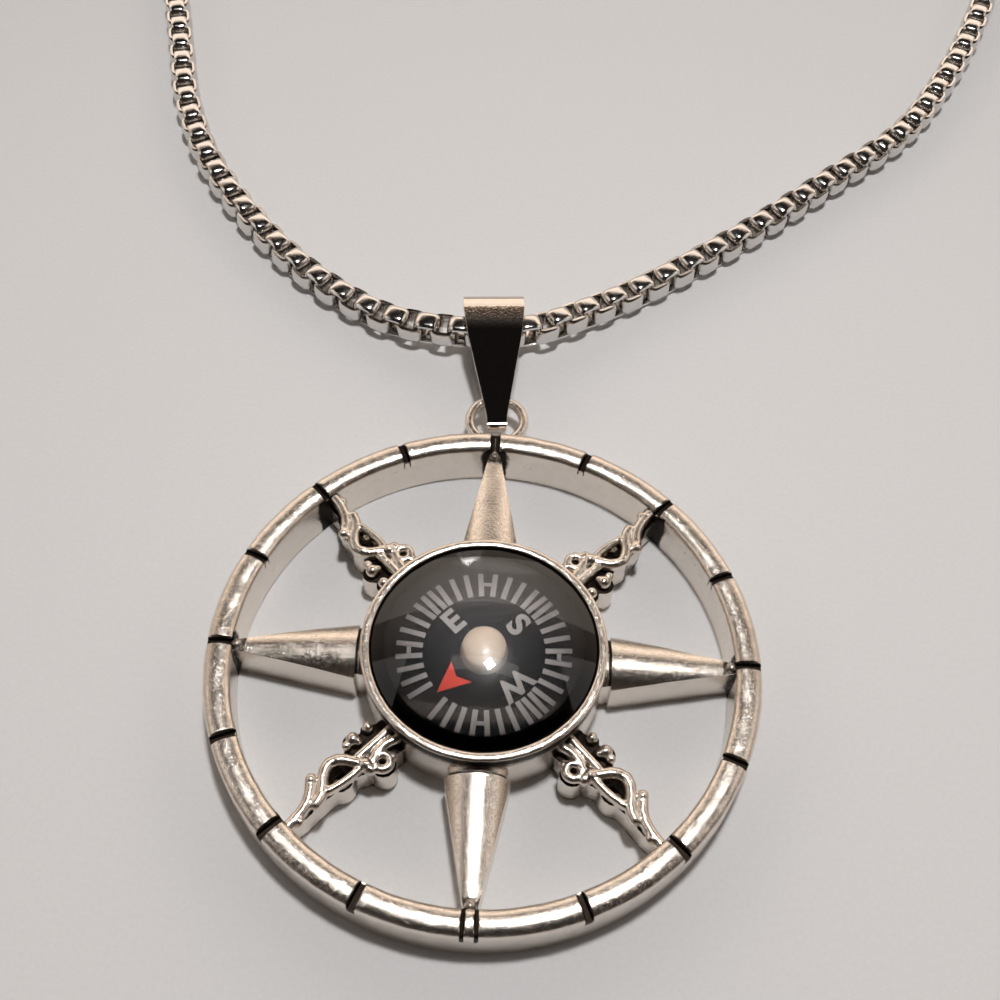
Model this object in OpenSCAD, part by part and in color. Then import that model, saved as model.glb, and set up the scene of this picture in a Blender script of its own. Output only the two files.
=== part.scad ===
// Compass pendant on a round box chain, lying on its back.
// Origin at the middle of the pendant's back. +X to the right, +Y up the pendant
// towards the bail and the chain, +Z out of its face. Millimetres.

/* [Ring] */
// Outer diameter of the ring
ring_d = 45.2; // [38:0.1:55]
// Width of the ring, seen from the front
ring_w = 2.15; // [1.5:0.05:3]
// Thickness of the ring, back to front
ring_h = 4.6; // [4:0.1:5.5]
// Height of the ring's rounded front, part of its thickness
ring_crown = 0.6; // [0.3:0.05:0.9]
// Number of grooves across the ring
groove_n = 16; // [8:8:32]
// Width of a groove
groove_w = 0.7; // [0.3:0.05:1.2]
// Depth of a groove
groove_depth = 0.7; // [0.3:0.05:1.1]

/* [Hub] */
// Outer diameter of the cup that holds the compass
hub_d = 19.7; // [17:0.1:24]
// Height of the cup's rim above the back
hub_h = 6; // [5.5:0.1:9]
// Thickness of the cup's wall
hub_wall = 0.7; // [0.5:0.05:1.2]
// Thickness of the cup's floor
hub_floor = 0.9; // [0.5:0.1:1.3]

/* [Rays] */
// Width of a ray where it leaves the hub
ray_w = 5.1; // [3:0.1:6]
// Width of a ray where it meets the ring
ray_tip_w = 0.95; // [0.6:0.05:1.5]
// Height of a ray's upright sides
ray_side_h = 3.5; // [2.5:0.1:4]
// Height of a ray's rounded back above its sides, by the hub
ray_rise = 1.3; // [0.8:0.1:1.5]
// Height of a ray's rounded back above its sides, by the ring
ray_tip_rise = 0.25; // [0.15:0.05:0.5]
// Diameter of the bead that ends a ray at the ring
ray_bead_d = 1; // [0.7:0.05:1.4]

/* [Scroll ornaments] */
// Thickness of an ornament's plate
scroll_h = 3.6; // [2.6:0.1:4.2]
// Greatest width of an ornament
scroll_w = 5.2; // [4.2:0.1:6.4]
// Thickness of the raised rims round the hollows
scroll_rim_t = 0.65; // [0.5:0.05:0.8]
// Depth of the hollows in the plate
scroll_hollow = 1; // [0.5:0.1:1.4]
// Diameter of the beads
scroll_bead_d = 0.9; // [0.6:0.05:1.1]
// Diameter of the round stem by the hub
scroll_stem_d = 0.8; // [0.5:0.05:1]
// Diameter of the spike where it leaves the large hollow
scroll_spike_d = 1.1; // [0.7:0.05:1.4]
// Diameter of the spike at the ring
scroll_spike_tip_d = 0.7; // [0.4:0.05:0.9]

/* [Eye] */
// Outer diameter of the loop on top of the ring
eye_d = 6; // [5.4:0.1:7.5]
// Thickness of the loop's wire
eye_wire = 0.8; // [0.6:0.05:1]
// Height of the loop's middle above the back
eye_z = 2.6; // [2.2:0.1:2.8]

/* [Compass capsule] */
// Gap between the capsule and the cup
capsule_gap = 0.1; // [0.05:0.05:0.2]
// Thickness of the capsule's wall
capsule_wall = 0.6; // [0.4:0.05:0.9]
// Thickness of the capsule's floor
capsule_floor = 0.6; // [0.4:0.05:0.9]
// Depth of the capsule's edge below the rim of the cup
capsule_drop = 0.8; // [0.5:0.05:1.2]
// Gap between the card and the capsule's wall
card_gap = 0.5; // [0.3:0.05:1]
// Thickness of the card
card_t = 0.4; // [0.2:0.05:0.6]
// Height of the card above the capsule's floor
card_lift = 2; // [1.2:0.1:2.2]
// Diameter of the pivot pin
pin_d = 0.8; // [0.5:0.05:1.2]
// Gap all round the pivot pin in the card and its cap
pin_gap = 0.06; // [0.03:0.01:0.1]
// Diameter of the cap in the middle of the card
cap_d = 3.5; // [2.4:0.1:4]
// Height of the cap above the card
cap_h = 0.55; // [0.45:0.05:0.6]

/* [Lens] */
// Thickness of the clear dome
lens_t = 0.6; // [0.4:0.05:0.8]
// Rise of the dome from its edge to its middle
lens_rise = 2.4; // [1:0.1:3]
// Height of the dome's upright edge
lens_edge = 0.5; // [0.3:0.05:0.7]

/* [Bail] */
// Length of the bail, from its tip to its far end
bail_l = 15.2; // [14.5:0.1:20]
// Width of the bail round the chain
bail_w = 6; // [4:0.1:8]
// Width of the bail at its tip
bail_tip_w = 1.9; // [1.2:0.1:2.4]
// Length of the bail's even stretch, from its far end to where it narrows
bail_band_l = 5.3; // [4:0.1:7]
// Thickness of the bail's strap
bail_t = 0.5; // [0.35:0.05:0.7]
// Free space between the bail and the chain, above and below
bail_play = 1; // [0.4:0.05:1.2]
// Free space between the bail and the loop it hangs on
bail_eye_play = 0.35; // [0.2:0.05:0.5]
// Lean of the bail to the left of the pendant's middle, in degrees
bail_lean = 3.4; // [0:0.2:6]

/* [Chain] */
// Diameter of the chain
chain_d = 3; // [2:0.1:3.6]
// Gap between the chain's ends and the clasp
chain_end_gap = 0.3; // [0.3:0.05:0.6]

/* [Clasp] */
// Width of the clasp
clasp_w = 5.6; // [4:0.1:8]
// Thickness of the clasp
clasp_t = 2.6; // [1.8:0.1:3.4]
// Width of the metal round the clasp's eye
clasp_rim = 1.3; // [0.8:0.1:1.6]

/* [Hidden] */

$fn = 96;
// A small bite that joins two solids of one casting
bite = 0.3;
// A cutter runs this far past what it cuts
past = 1;
// A rim's round wire sinks this far into the wall under it
wall_bite = 0.08;

ring_r = ring_d / 2;
ring_ri = ring_r - ring_w;
hub_r = hub_d / 2;
span = ring_ri - hub_r;

capsule_r = hub_r - hub_wall - capsule_gap;
capsule_z = hub_floor + capsule_gap;
capsule_top = hub_h - capsule_drop;
capsule_ri = capsule_r - capsule_wall;
card_r = capsule_ri - card_gap;
card_z = capsule_z + capsule_floor + card_lift;
pin_z = capsule_z + capsule_floor;
pin_hole_r = pin_d / 2 + pin_gap;
// The cap keeps this much metal over the pin's tip
cap_roof = cap_h * 0.4;
pin_tip_z = card_z + card_t + cap_h - cap_roof - pin_gap;

lens_z = capsule_top + capsule_gap;
lens_r = capsule_r;
lens_sphere_r = (lens_r * lens_r + lens_rise * lens_rise) / (2 * lens_rise);

// The loop's wire sinks half its own thickness into the ring
eye_r = eye_d / 2;
eye_y = ring_r + eye_r - eye_wire / 2;
eye_wire_y = eye_y + eye_r - eye_wire / 2;

// The bail in its own axes: its tip at the origin, its length along +Y
bail_in_r = chain_d / 2 + bail_play;
bail_out_r = bail_in_r + bail_t;
bail_tip_in_r = bail_t / 2;
bail_tip_r = bail_tip_in_r + bail_t;
bail_far_y = bail_l - bail_tip_r - bail_out_r;
// The tip stands in the loop's hole, so that the strap's two leaves hold the wire
bail_seat = (eye_wire / 2 + bail_eye_play - bail_tip_in_r) / (bail_in_r - bail_tip_in_r);
bail_tip_y = eye_wire_y - bail_seat * bail_far_y;
bail_tip_z = (eye_z - bail_seat * bail_out_r) / (1 - bail_seat);
// The bail's straight sides lie this far inside its rounds
bail_crease = 0.02;

// How far along the bail the chain passes, from its tip to its far round
bail_chain_share = 1.02;
// How deep the chain lies in its free space there, as a share of that space
bail_chain_sag = 0.65;

chain_r = chain_d / 2;
// In the bail the chain's middle lies a little below the bail's own middle line
chain_y = bail_tip_y + bail_chain_share * bail_far_y;
chain_lift = bail_tip_z + bail_chain_share * (bail_out_r - bail_tip_z)
             - bail_chain_sag * bail_play - chain_r;
chain_sides = 8;
chain_steps = 2;
// A flat of the eight-sided tube lies on the ground
chain_corner_r = chain_r / cos(180 / chain_sides);
// Where the chain lies, chosen by hand: x, y from where it passes the bail, and its
// lift in the bail as a share
chain_route = [
    [1, 236, 0], [-18.5, 233, 0], [-35.5, 223.5, 0], [-48.5, 208.5, 0], [-57, 190.5, 0],
    [-61.5, 171, 0], [-63, 151, 0], [-62, 131, 0], [-58.5, 111, 0], [-53.5, 91.5, 0],
    [-47.5, 71.5, 0], [-42.5, 53, 0], [-40, 43, 0], [-37.5, 33.5, 0], [-33.5, 24, 0],
    [-27.5, 15, 0], [-20, 7, 0], [-12, 1.5, 0.3], [-4.5, -0.5, 1], [2.5, 0, 1],
    [8, 3, 0.4], [15.5, 8, 0], [25, 15.5, 0], [35.5, 25, 0], [44.5, 33.5, 0],
    [51, 43.5, 0], [56, 53.5, 0], [61, 66, 0], [67.5, 84, 0], [73, 103, 0],
    [76.5, 122.5, 0], [77.5, 142, 0], [76, 161.5, 0], [71.5, 181, 0], [63.5, 199.5, 0],
    [52, 216, 0], [38, 227.5, 0], [26, 233.5, 0], [13, 236, 0]];
route_last = len(chain_route) - 1;

// Clasp: tail at the route's first point, eye at its last
clasp_x0 = chain_route[0][0] + chain_end_gap;
clasp_x1 = chain_route[route_last][0] - chain_end_gap;
clasp_y = chain_y + chain_route[0][1];
clasp_tail_w = chain_d;

// A ray's rounded back is this much narrower than its sides
ray_ledge = 0.05;
// A raised rim's middle stands this share of its thickness above the plate
rim_rise = 0.3;

// The scroll ornament's rows give places as shares: along the span from hub to ring, and
// across as a share of half the ornament's width, with a plus towards the north or south
// ray. Lobes of the outline, with their radius as a share of half the width too
scroll_lobes = [[0.19, 0.56, 0.38],
                [0.10, -0.66, 0.20],
                [0.25, -0.62, 0.31],
                [0.32, 0.15, 0.28],
                [0.50, -0.05, 0.52],
                [0.70, -0.04, 0.36],
                [0.81, 0.08, 0.25]];
// Hollows with a raised rim, the same columns: a small one, and a large one
scroll_rims = [[0.19, 0.56, 0.24],
               [0.50, -0.04, 0.40]];
// The plate between the lobes: place along, and its two sides
scroll_plate = [[-0.04, -0.72, 0.66], [0.30, -0.66, 0.50], [0.42, -0.45, 0.30],
                [0.62, -0.44, 0.28], [0.76, -0.34, 0.32], [0.86, -0.06, 0.34],
                [1.04, -0.02, 0.34]];
// Beads: place along, place across and height above the plate, as a share of the bead
scroll_beads = [[0.20, -0.63, 0.1], [0.30, -0.66, 0.1], [0.09, -0.66, 0.0], [0.10, 0.36, 0.1],
                [0.31, 0.28, 0.15], [0.43, 0.12, -0.7], [0.54, 0.07, -0.7], [0.67, -0.36, 0.1],
                [0.82, 0.12, 0.0], [0.94, 0.22, -0.1]];
// Middle lines of the round wires, each from one place to another: the stem by the hub,
// and the two parts of the spike out to the ring
scroll_stem_row = [[-0.03, -0.05], [0.30, 0.04]];
scroll_rise_row = [[0.66, -0.36], [0.82, 0.12]];
scroll_spike_row = [[0.82, 0.12], [1.03, 0.19]];

module compass_frame() {
    color([0.72, 0.68, 0.64])
    union() {
        difference() {
            ring_band();
            ring_grooves();
        }
        eye_loop();
        hub_cup();
        for (turn = [0 : 90 : 270])
            rotate([0, 0, turn]) ray();
        for (turn = [45, 225])
            rotate([0, 0, turn]) scroll();
        for (turn = [135, 315])
            rotate([0, 0, turn]) mirror([0, 1, 0]) scroll();
    }
}

// Ring with a rounded front
module ring_band() {
    rotate_extrude()
        polygon(concat([[ring_ri, 0], [ring_r, 0]],
                       [for (a = [0 : 30 : 180])
                           [ring_r - ring_w / 2 + cos(a) * ring_w / 2,
                            ring_h - ring_crown + sin(a) * ring_crown]]));
}

module ring_grooves() {
    for (i = [0 : groove_n - 1])
        rotate([0, 0, i * 360 / groove_n])
            translate([ring_ri - past, -groove_w / 2, ring_h - groove_depth])
                cube([ring_w + 2 * past, groove_w, groove_depth + past]);
}

// Round wire loop cast on the north of the ring, its hole facing up
module eye_loop() {
    translate([0, eye_y, eye_z])
        rotate_extrude()
            translate([eye_r - eye_wire / 2, 0])
                circle(d = eye_wire, $fn = 32);
}

module hub_cup() {
    rotate_extrude()
        polygon([[0, 0], [hub_r, 0], [hub_r, hub_h - hub_wall / 3],
                 [hub_r - hub_wall / 3, hub_h], [hub_r - hub_wall * 2 / 3, hub_h],
                 [hub_r - hub_wall, hub_h - hub_wall / 3], [hub_r - hub_wall, hub_floor],
                 [0, hub_floor]]);
}

// Ray along +X: upright sides, and a rounded back, which is a sunk cone between them
module ray() {
    x0 = hub_r - bite;
    x1 = ring_ri + bite;
    back_r = (ray_w * ray_w / 4 + ray_rise * ray_rise) / (2 * ray_rise);
    sunk = back_r - ray_rise;
    linear_extrude(ray_side_h)
        ray_plan(x0, x1, 0);
    intersection() {
        translate([0, 0, ray_side_h - bite])
            linear_extrude(ray_rise + bite + past)
                ray_plan(x0, x1, ray_ledge);
        translate([x0, 0, ray_side_h - sunk])
            rotate([0, 90, 0])
                cylinder(h = x1 - x0, r1 = back_r, r2 = sunk + ray_tip_rise);
    }
    translate([ring_ri - ray_bead_d / 4, 0, ray_side_h + ray_tip_rise])
        sphere(d = ray_bead_d, $fn = 32);
}

module ray_plan(x0, x1, inset) {
    root = ray_w / 2 - inset;
    tip = ray_tip_w / 2 - inset;
    polygon([[x0, -root], [x1, -tip], [x1, tip], [x0, root]]);
}

function along(share) = hub_r + share * span;
function across(share) = share * scroll_w / 2;

// Scroll ornament along +X between the hub and the ring
module scroll() {
    difference() {
        union() {
            linear_extrude(scroll_h)
                scroll_outline();
            scroll_wire(scroll_stem_row, scroll_stem_d, scroll_stem_d);
            scroll_wire(scroll_rise_row, scroll_stem_d, scroll_spike_d);
            scroll_wire(scroll_spike_row, scroll_spike_d, scroll_spike_tip_d);
            for (rim = scroll_rims)
                scroll_at(rim)
                    cylinder(h = scroll_h + scroll_rim_t * rim_rise, r = across(rim[2]));
        }
        for (rim = scroll_rims)
            scroll_at(rim)
                translate([0, 0, scroll_h - scroll_hollow])
                    cylinder(h = scroll_hollow + past,
                             r = across(rim[2]) - scroll_rim_t / 2 + wall_bite);
    }
    for (rim = scroll_rims)
        scroll_at(rim)
            translate([0, 0, scroll_h + scroll_rim_t * rim_rise])
                rotate_extrude()
                    translate([across(rim[2]), 0])
                        circle(d = scroll_rim_t, $fn = 32);
    for (bead = scroll_beads)
        scroll_at(bead)
            translate([0, 0, scroll_h + bead[2] * scroll_bead_d])
                sphere(d = scroll_bead_d, $fn = 32);
}

// Places a piece of the scroll at its row's place along and across
module scroll_at(row) {
    translate([along(row[0]), across(row[1]), 0])
        children();
}

// Round wire on the plate from the row's first place to its second
module scroll_wire(row, d1, d2) {
    dx = along(row[1][0]) - along(row[0][0]);
    dy = across(row[1][1]) - across(row[0][1]);
    scroll_at(row[0])
        translate([0, 0, scroll_h])
            rotate([0, 90, atan2(dy, dx)])
                cylinder(h = norm([dx, dy]), d1 = d1, d2 = d2, $fn = 32);
}

module scroll_outline() {
    polygon(concat([for (row = scroll_plate) [along(row[0]), across(row[1])]],
                   [for (i = [len(scroll_plate) - 1 : -1 : 0])
                       [along(scroll_plate[i][0]), across(scroll_plate[i][2])]]));
    for (lobe = scroll_lobes)
        scroll_at(lobe)
            circle(r = across(lobe[2]), $fn = 64);
}

// Black cup that stands in the hub
module capsule_body() {
    color([0.05, 0.05, 0.06])
    rotate_extrude()
        polygon([[0, capsule_z], [capsule_r, capsule_z], [capsule_r, capsule_top],
                 [capsule_ri, capsule_top], [capsule_ri, pin_z], [0, pin_z]]);
}

// Pin with a pointed tip that carries the card
module pivot_pin() {
    color([0.75, 0.72, 0.68])
    rotate_extrude()
        polygon([[0, pin_z], [pin_d / 2, pin_z], [pin_d / 2, pin_tip_z - pin_d / 3],
                 [pin_d / 8, pin_tip_z], [0, pin_tip_z]]);
}

module compass_card() {
    color([0.04, 0.04, 0.05])
    translate([0, 0, card_z])
        difference() {
            cylinder(h = card_t, r = card_r);
            translate([0, 0, -past])
                cylinder(h = card_t + 2 * past, r = pin_hole_r);
        }
}

// Cap over the pin, fixed on the card
module card_cap() {
    color([0.86, 0.80, 0.72])
    translate([0, 0, card_z + card_t])
        difference() {
            cylinder(h = cap_h, d1 = cap_d, d2 = cap_d - cap_h);
            translate([0, 0, -past])
                cylinder(h = cap_h - cap_roof + past, r = pin_hole_r);
        }
}

// Clear dome with an upright edge that stands on the capsule
module dome_lens() {
    color([0.85, 0.9, 0.95, 0.35])
    difference() {
        dome_solid(0);
        dome_solid(lens_t);
    }
}

module dome_solid(inset) {
    dome_z = lens_z + lens_edge + lens_rise - lens_sphere_r;
    intersection() {
        translate([0, 0, lens_z - (inset > 0 ? past : 0)])
            cylinder(h = lens_edge + lens_rise + 2 * past, r = lens_r - inset);
        translate([0, 0, dome_z])
            sphere(r = lens_sphere_r - inset, $fn = 128);
    }
}

// Folded strap: round the chain at its far end, closed at its tip
module bail() {
    color([0.80, 0.78, 0.76])
    translate([0, bail_tip_y, 0])
        rotate([0, 0, bail_lean])
            intersection() {
                difference() {
                    bail_wedge(bail_out_r, bail_tip_r, bail_w + past);
                    bail_wedge(bail_in_r, bail_tip_in_r, bail_w + 3 * past);
                }
                translate([0, 0, -past])
                    linear_extrude(2 * bail_out_r + 2 * past)
                        bail_front();
            }
}

// Wedge with two round ends, across the bail: its outside, or the space inside it
module bail_wedge(far_r, tip_r, width) {
    far = [bail_far_y, bail_out_r];
    tip = [0, bail_tip_z];
    run = norm(far - tip);
    slope = atan2(far[1] - tip[1], far[0] - tip[0]);
    tilt = asin((far_r - tip_r) / run);
    up = slope + 90 + tilt;
    down = slope - 90 - tilt;
    flat_tip_r = tip_r - bail_crease;
    flat_far_r = far_r - bail_crease;
    translate([-width / 2, 0, 0])
        rotate([90, 0, 90]) {
            linear_extrude(width)
                polygon([tip + flat_tip_r * [cos(up), sin(up)], far + flat_far_r * [cos(up), sin(up)],
                         far + flat_far_r * [cos(down), sin(down)],
                         tip + flat_tip_r * [cos(down), sin(down)]]);
            translate(far)
                cylinder(h = width, r = far_r);
            translate(tip)
                cylinder(h = width, r = tip_r, $fn = 32);
        }
}

// Front view of the strap: even round the chain, narrowing to the tip
module bail_front() {
    shoulder = bail_l - bail_tip_r - bail_band_l;
    polygon([[-bail_tip_w / 2, -bail_tip_r - past], [bail_tip_w / 2, -bail_tip_r - past],
             [bail_tip_w / 2, 0], [bail_w / 2, shoulder],
             [bail_w / 2, bail_l + past], [-bail_w / 2, bail_l + past],
             [-bail_w / 2, shoulder], [-bail_tip_w / 2, 0]]);
}

// Smooth line through the route's points
function route_at(i) =
    let (p = chain_route[max(0, min(route_last, i))])
    [p[0], chain_y + p[1], chain_r + p[2] * chain_lift];
function smooth(p, t) =
    0.5 * ((2 * p[1]) + (p[2] - p[0]) * t + (2 * p[0] - 5 * p[1] + 4 * p[2] - p[3]) * t * t
           + (3 * p[1] - p[0] - 3 * p[2] + p[3]) * t * t * t);
function route_point(k) =
    let (i = min(route_last - 1, floor(k / chain_steps)), t = k / chain_steps - i,
         at = smooth([for (j = [-1 : 2]) route_at(i + j)], t))
    [at[0], at[1], max(chain_r, at[2])];
ring_last = route_last * chain_steps;
function route_dir(k) =
    let (d = route_point(min(ring_last, k + 1)) - route_point(max(0, k - 1)))
    d / norm(d);

// Outer form of the chain, one tube swept along its route
module chain() {
    corners = [for (k = [0 : ring_last])
        let (at = route_point(k), dir = route_dir(k),
             side = cross([0, 0, 1], dir) / norm(cross([0, 0, 1], dir)), up = cross(dir, side))
        for (c = [0 : chain_sides - 1])
            let (a = (c + 0.5) * 360 / chain_sides)
            at + chain_corner_r * (cos(a) * side + sin(a) * up)];
    walls = [for (k = [0 : ring_last - 1]) for (c = [0 : chain_sides - 1])
        let (d = (c + 1) % chain_sides)
        [(k + 1) * chain_sides + c, (k + 1) * chain_sides + d,
         k * chain_sides + d, k * chain_sides + c]];
    ends = [[for (c = [0 : chain_sides - 1]) c],
            [for (c = [chain_sides - 1 : -1 : 0]) ring_last * chain_sides + c]];
    color([0.66, 0.64, 0.62])
    polyhedron(points = corners, faces = concat(walls, ends), convexity = 6);
}

// Plain clasp, one piece: a tail towards one end of the chain and an open eye at the other
module clasp() {
    color([0.70, 0.68, 0.66])
    translate([0, clasp_y, 0])
        difference() {
            linear_extrude(clasp_t)
                hull() {
                    translate([clasp_x0 + clasp_tail_w / 2, 0])
                        square([clasp_tail_w, clasp_tail_w], center = true);
                    translate([clasp_x1 - clasp_w / 2, 0])
                        circle(d = clasp_w, $fn = 32);
                }
            translate([clasp_x1 - clasp_w / 2, 0, -past])
                cylinder(h = clasp_t + 2 * past, d = clasp_w - 2 * clasp_rim);
        }
}

compass_frame();
capsule_body();
pivot_pin();
compass_card();
card_cap();
dome_lens();
bail();
chain();
clasp();
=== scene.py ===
# %% [markdown]
# A compass pendant on a round box chain. It lies on its back on a pale surface, with its
# chain laid out in one whole loop behind it. The exact solids are loaded first. They give
# every place and size, and what is modelled below is fitted to them.

# %% The frame
import math

import bmesh
import bpy
import numpy as np
from mathutils import Matrix, Vector, noise


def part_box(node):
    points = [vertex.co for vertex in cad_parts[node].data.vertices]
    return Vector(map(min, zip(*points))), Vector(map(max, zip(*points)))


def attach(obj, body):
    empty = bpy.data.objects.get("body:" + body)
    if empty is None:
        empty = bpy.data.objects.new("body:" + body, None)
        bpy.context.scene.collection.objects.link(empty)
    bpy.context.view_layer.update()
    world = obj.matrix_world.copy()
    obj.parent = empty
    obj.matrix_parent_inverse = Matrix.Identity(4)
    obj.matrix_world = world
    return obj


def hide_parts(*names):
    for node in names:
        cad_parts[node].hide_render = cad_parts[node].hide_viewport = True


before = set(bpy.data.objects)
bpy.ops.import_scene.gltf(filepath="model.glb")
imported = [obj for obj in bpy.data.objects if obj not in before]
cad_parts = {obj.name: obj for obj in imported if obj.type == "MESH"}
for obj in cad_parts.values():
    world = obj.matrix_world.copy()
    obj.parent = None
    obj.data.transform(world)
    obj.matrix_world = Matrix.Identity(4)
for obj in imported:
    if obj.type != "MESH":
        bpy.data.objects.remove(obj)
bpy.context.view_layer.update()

MM = 0.001
scene = bpy.context.scene
print("CAD pieces:", ", ".join(sorted(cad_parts)))

# %% [markdown]
# The camera looks down at the pendant from its foot, as it would be photographed on a
# table: about 34 degrees off the vertical, turned a little, and close, so the near side
# is larger than the far side. Lengths below are in millimetres until a mesh is finished.

# %% The camera
CAMERA_AT = Vector((0.903, -46.167, 94.242)) * MM
CAMERA_TURN = [("Z", 0.214), ("X", 34.278), ("Z", 2.603)]
CAMERA_LENS = 44.447
CAMERA_SENSOR = 36.0


def add_camera():
    turn = Matrix.Identity(4)
    for axis, degrees in CAMERA_TURN:
        turn = turn @ Matrix.Rotation(math.radians(degrees), 4, axis)
    data = bpy.data.cameras.new("camera")
    data.lens = CAMERA_LENS
    data.sensor_width = CAMERA_SENSOR
    data.clip_start = MM
    camera = bpy.data.objects.new("camera", data)
    camera.matrix_world = Matrix.Translation(CAMERA_AT) @ turn
    scene.collection.objects.link(camera)
    scene.camera = camera


add_camera()
print("camera at", [round(v, 4) for v in CAMERA_AT])

# %% [markdown]
# These helpers are used by every piece. A section is a row of points in the plane
# through the Z axis, which a spin turns into a round form. A finished piece is scaled
# from millimetres to metres in its mesh, so its object stays at the origin, unturned
# and unscaled, and patterns on Object coordinates stay where they are.

# %% Helpers for shapes
ARC_STEPS = 14
WELD = 1e-4


def verts_in(geom):
    return [g for g in geom if isinstance(g, bmesh.types.BMVert)]


def edges_in(geom):
    return [g for g in geom if isinstance(g, bmesh.types.BMEdge)]


def clamped(value):
    """Keeps a value within 0 and 1."""
    return min(1.0, max(0.0, value))


def chain_of(bm, points, closed=False):
    """Joins points into a row of edges and returns the geometry to spin or extrude."""
    verts = [bm.verts.new(point) for point in points]
    pairs = list(zip(verts, verts[1:])) + ([(verts[-1], verts[0])] if closed else [])
    return verts + [bm.edges.new(pair) for pair in pairs]


def arc(centre, radii, start, end):
    """Points (across, up) on an arc from one angle to another, in degrees."""
    turns = [math.radians(start + (end - start) * i / ARC_STEPS) for i in range(ARC_STEPS + 1)]
    return [(centre[0] + radii[0] * math.cos(a), centre[1] + radii[1] * math.sin(a))
            for a in turns]


def spun(bm, section, steps, closed=True, parts=1):
    """Turns a section of (radius, height) points into a round form about the Z axis."""
    geom = chain_of(bm, [(r, 0, z) for r, z in section], closed)
    bmesh.ops.spin(bm, geom=geom, cent=(0, 0, 0), axis=(0, 0, 1), angle=math.tau / parts,
                   steps=steps // parts, use_merge=parts == 1)
    if parts > 1:
        whole = list(bm.verts) + list(bm.edges) + list(bm.faces)
        bmesh.ops.spin(bm, geom=whole, cent=(0, 0, 0), axis=(0, 0, 1), steps=parts - 1,
                       angle=math.tau * (parts - 1) / parts, use_duplicate=True)
    bmesh.ops.remove_doubles(bm, verts=bm.verts, dist=WELD)


def cast_uneven(bm, waves, above=-1.0):
    """Moves the skin in and out a little, as on a casting that was polished by hand.

    Each wave is its size and its depth in millimetres."""
    for size, depth in waves:
        bm.normal_update()
        for v in bm.verts:
            if v.co.z > above:
                v.co += v.normal * depth * noise.noise(v.co / size)


def turned(bm, radians):
    bmesh.ops.rotate(bm, matrix=Matrix.Rotation(radians, 3, "Z"), verts=bm.verts)


def new_mesh(bm, name):
    """Keeps the working mesh under a name and frees it."""
    mesh = bpy.data.meshes.new(name)
    bm.to_mesh(mesh)
    bm.free()
    return mesh


def finished(bm, name, body="necklace", stands_for=None, sharp=40):
    """Makes the piece in metres, shades it, and puts it on its body."""
    bmesh.ops.recalc_face_normals(bm, faces=bm.faces)
    bmesh.ops.scale(bm, vec=(MM, MM, MM), verts=bm.verts)
    return placed(new_mesh(bm, name), name, body, stands_for, sharp)


def placed(mesh, name, body="necklace", stands_for=None, sharp=40):
    """Shades a mesh that is already in metres, and puts it on its body."""
    mesh.polygons.foreach_set("use_smooth", [True] * len(mesh.polygons))
    mesh.set_sharp_from_angle(angle=math.radians(sharp))
    piece = bpy.data.objects.new(name, mesh)
    scene.collection.objects.link(piece)
    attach(piece, body)
    if stands_for:
        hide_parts(stands_for)
    print(name, "has", len(mesh.polygons), "faces")
    return piece


def paint(piece, name, values):
    """Writes one value for each point of a mesh, which the materials read."""
    layer = piece.data.attributes.new(name, "FLOAT", "POINT")
    layer.data.foreach_set("value", np.asarray(values, np.float32))


def vectors_of(mesh, name):
    """One vector for each point of a mesh, its "co" or its "normal"."""
    values = np.empty(len(mesh.vertices) * 3)
    mesh.vertices.foreach_get(name, values)
    return values.reshape(-1, 3)


def points_of(mesh):
    return vectors_of(mesh, "co") / MM


def radii_of(points):
    """Distance of each point from the Z axis."""
    return np.hypot(points[:, 0], points[:, 1])

# %% [markdown]
# Hollows of an antique casting keep black oxide, while its high places are rubbed
# bright. Both are found from the mesh itself: the points are averaged with their
# neighbours some times, and where the average lies outside the skin the place is hollow.
# The same layer also takes painted shade on given places, such as the foot of each piece.

# %% Hollows and high places
OWN_SHARE, NEIGHBOUR_SHARE = 0.3, 0.7
# Painted shade: how dark the band at the foot of each casting is, where it meets the floor
FOOT_PAINTED_SHADE = 0.5


def hollows(mesh, rounds):
    """How far the averaged skin lies outside each point, in millimetres."""
    points = points_of(mesh)
    edges = np.empty(len(mesh.edges) * 2, np.int64)
    mesh.edges.foreach_get("vertices", edges)
    a, b = edges.reshape(-1, 2).T
    count = np.bincount(edges, minlength=len(points))[:, None].clip(1)
    average = points.copy()
    for _ in range(rounds):
        total = np.zeros_like(points)
        np.add.at(total, a, average[b])
        np.add.at(total, b, average[a])
        average = OWN_SHARE * average + NEIGHBOUR_SHARE * total / count
    return ((average - points) * vectors_of(mesh, "normal")).sum(1)


def paint_oxide_and_shade(piece, places, rounds, depth):
    """Paints patina in the hollows, the given places' patina and painted shade, and wear on the
    high ones.
    """
    hollow = hollows(piece.data, rounds) / depth
    given = np.max(places, axis=0)
    paint(piece, "oxide_and_shade", np.maximum(hollow, given).clip(0, 1))
    paint(piece, "worn", (-hollow).clip(0, 1) * (1 - given.clip(0, 1)))


def foot_painted_shade(points, height):
    """Painted shade by the ground: a dark band at the foot of the walls, where they meet the floor.
    """
    return (points[:, 2] < height) * FOOT_PAINTED_SHADE

# %% [markdown]
# The ring is the rim of the casting: upright walls under a rounded front, with sixteen
# grooves filed across it. A spin makes the plain ring in fine steps, and the grooves are
# pressed into its points, so their edges stay a little soft as on a cast piece. The
# groove under the loop is wider, and at the foot two shallow grooves leave a raised strip.

# %% The ring
_, frame_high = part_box("compass_frame")
RING_R = frame_high.x / MM
RING_W = 2.15
RING_RI = RING_R - RING_W
RING_H = 4.6
RING_CROWN = 0.6
RING_EDGE = 0.12
RING_STEPS = 1440
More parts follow.
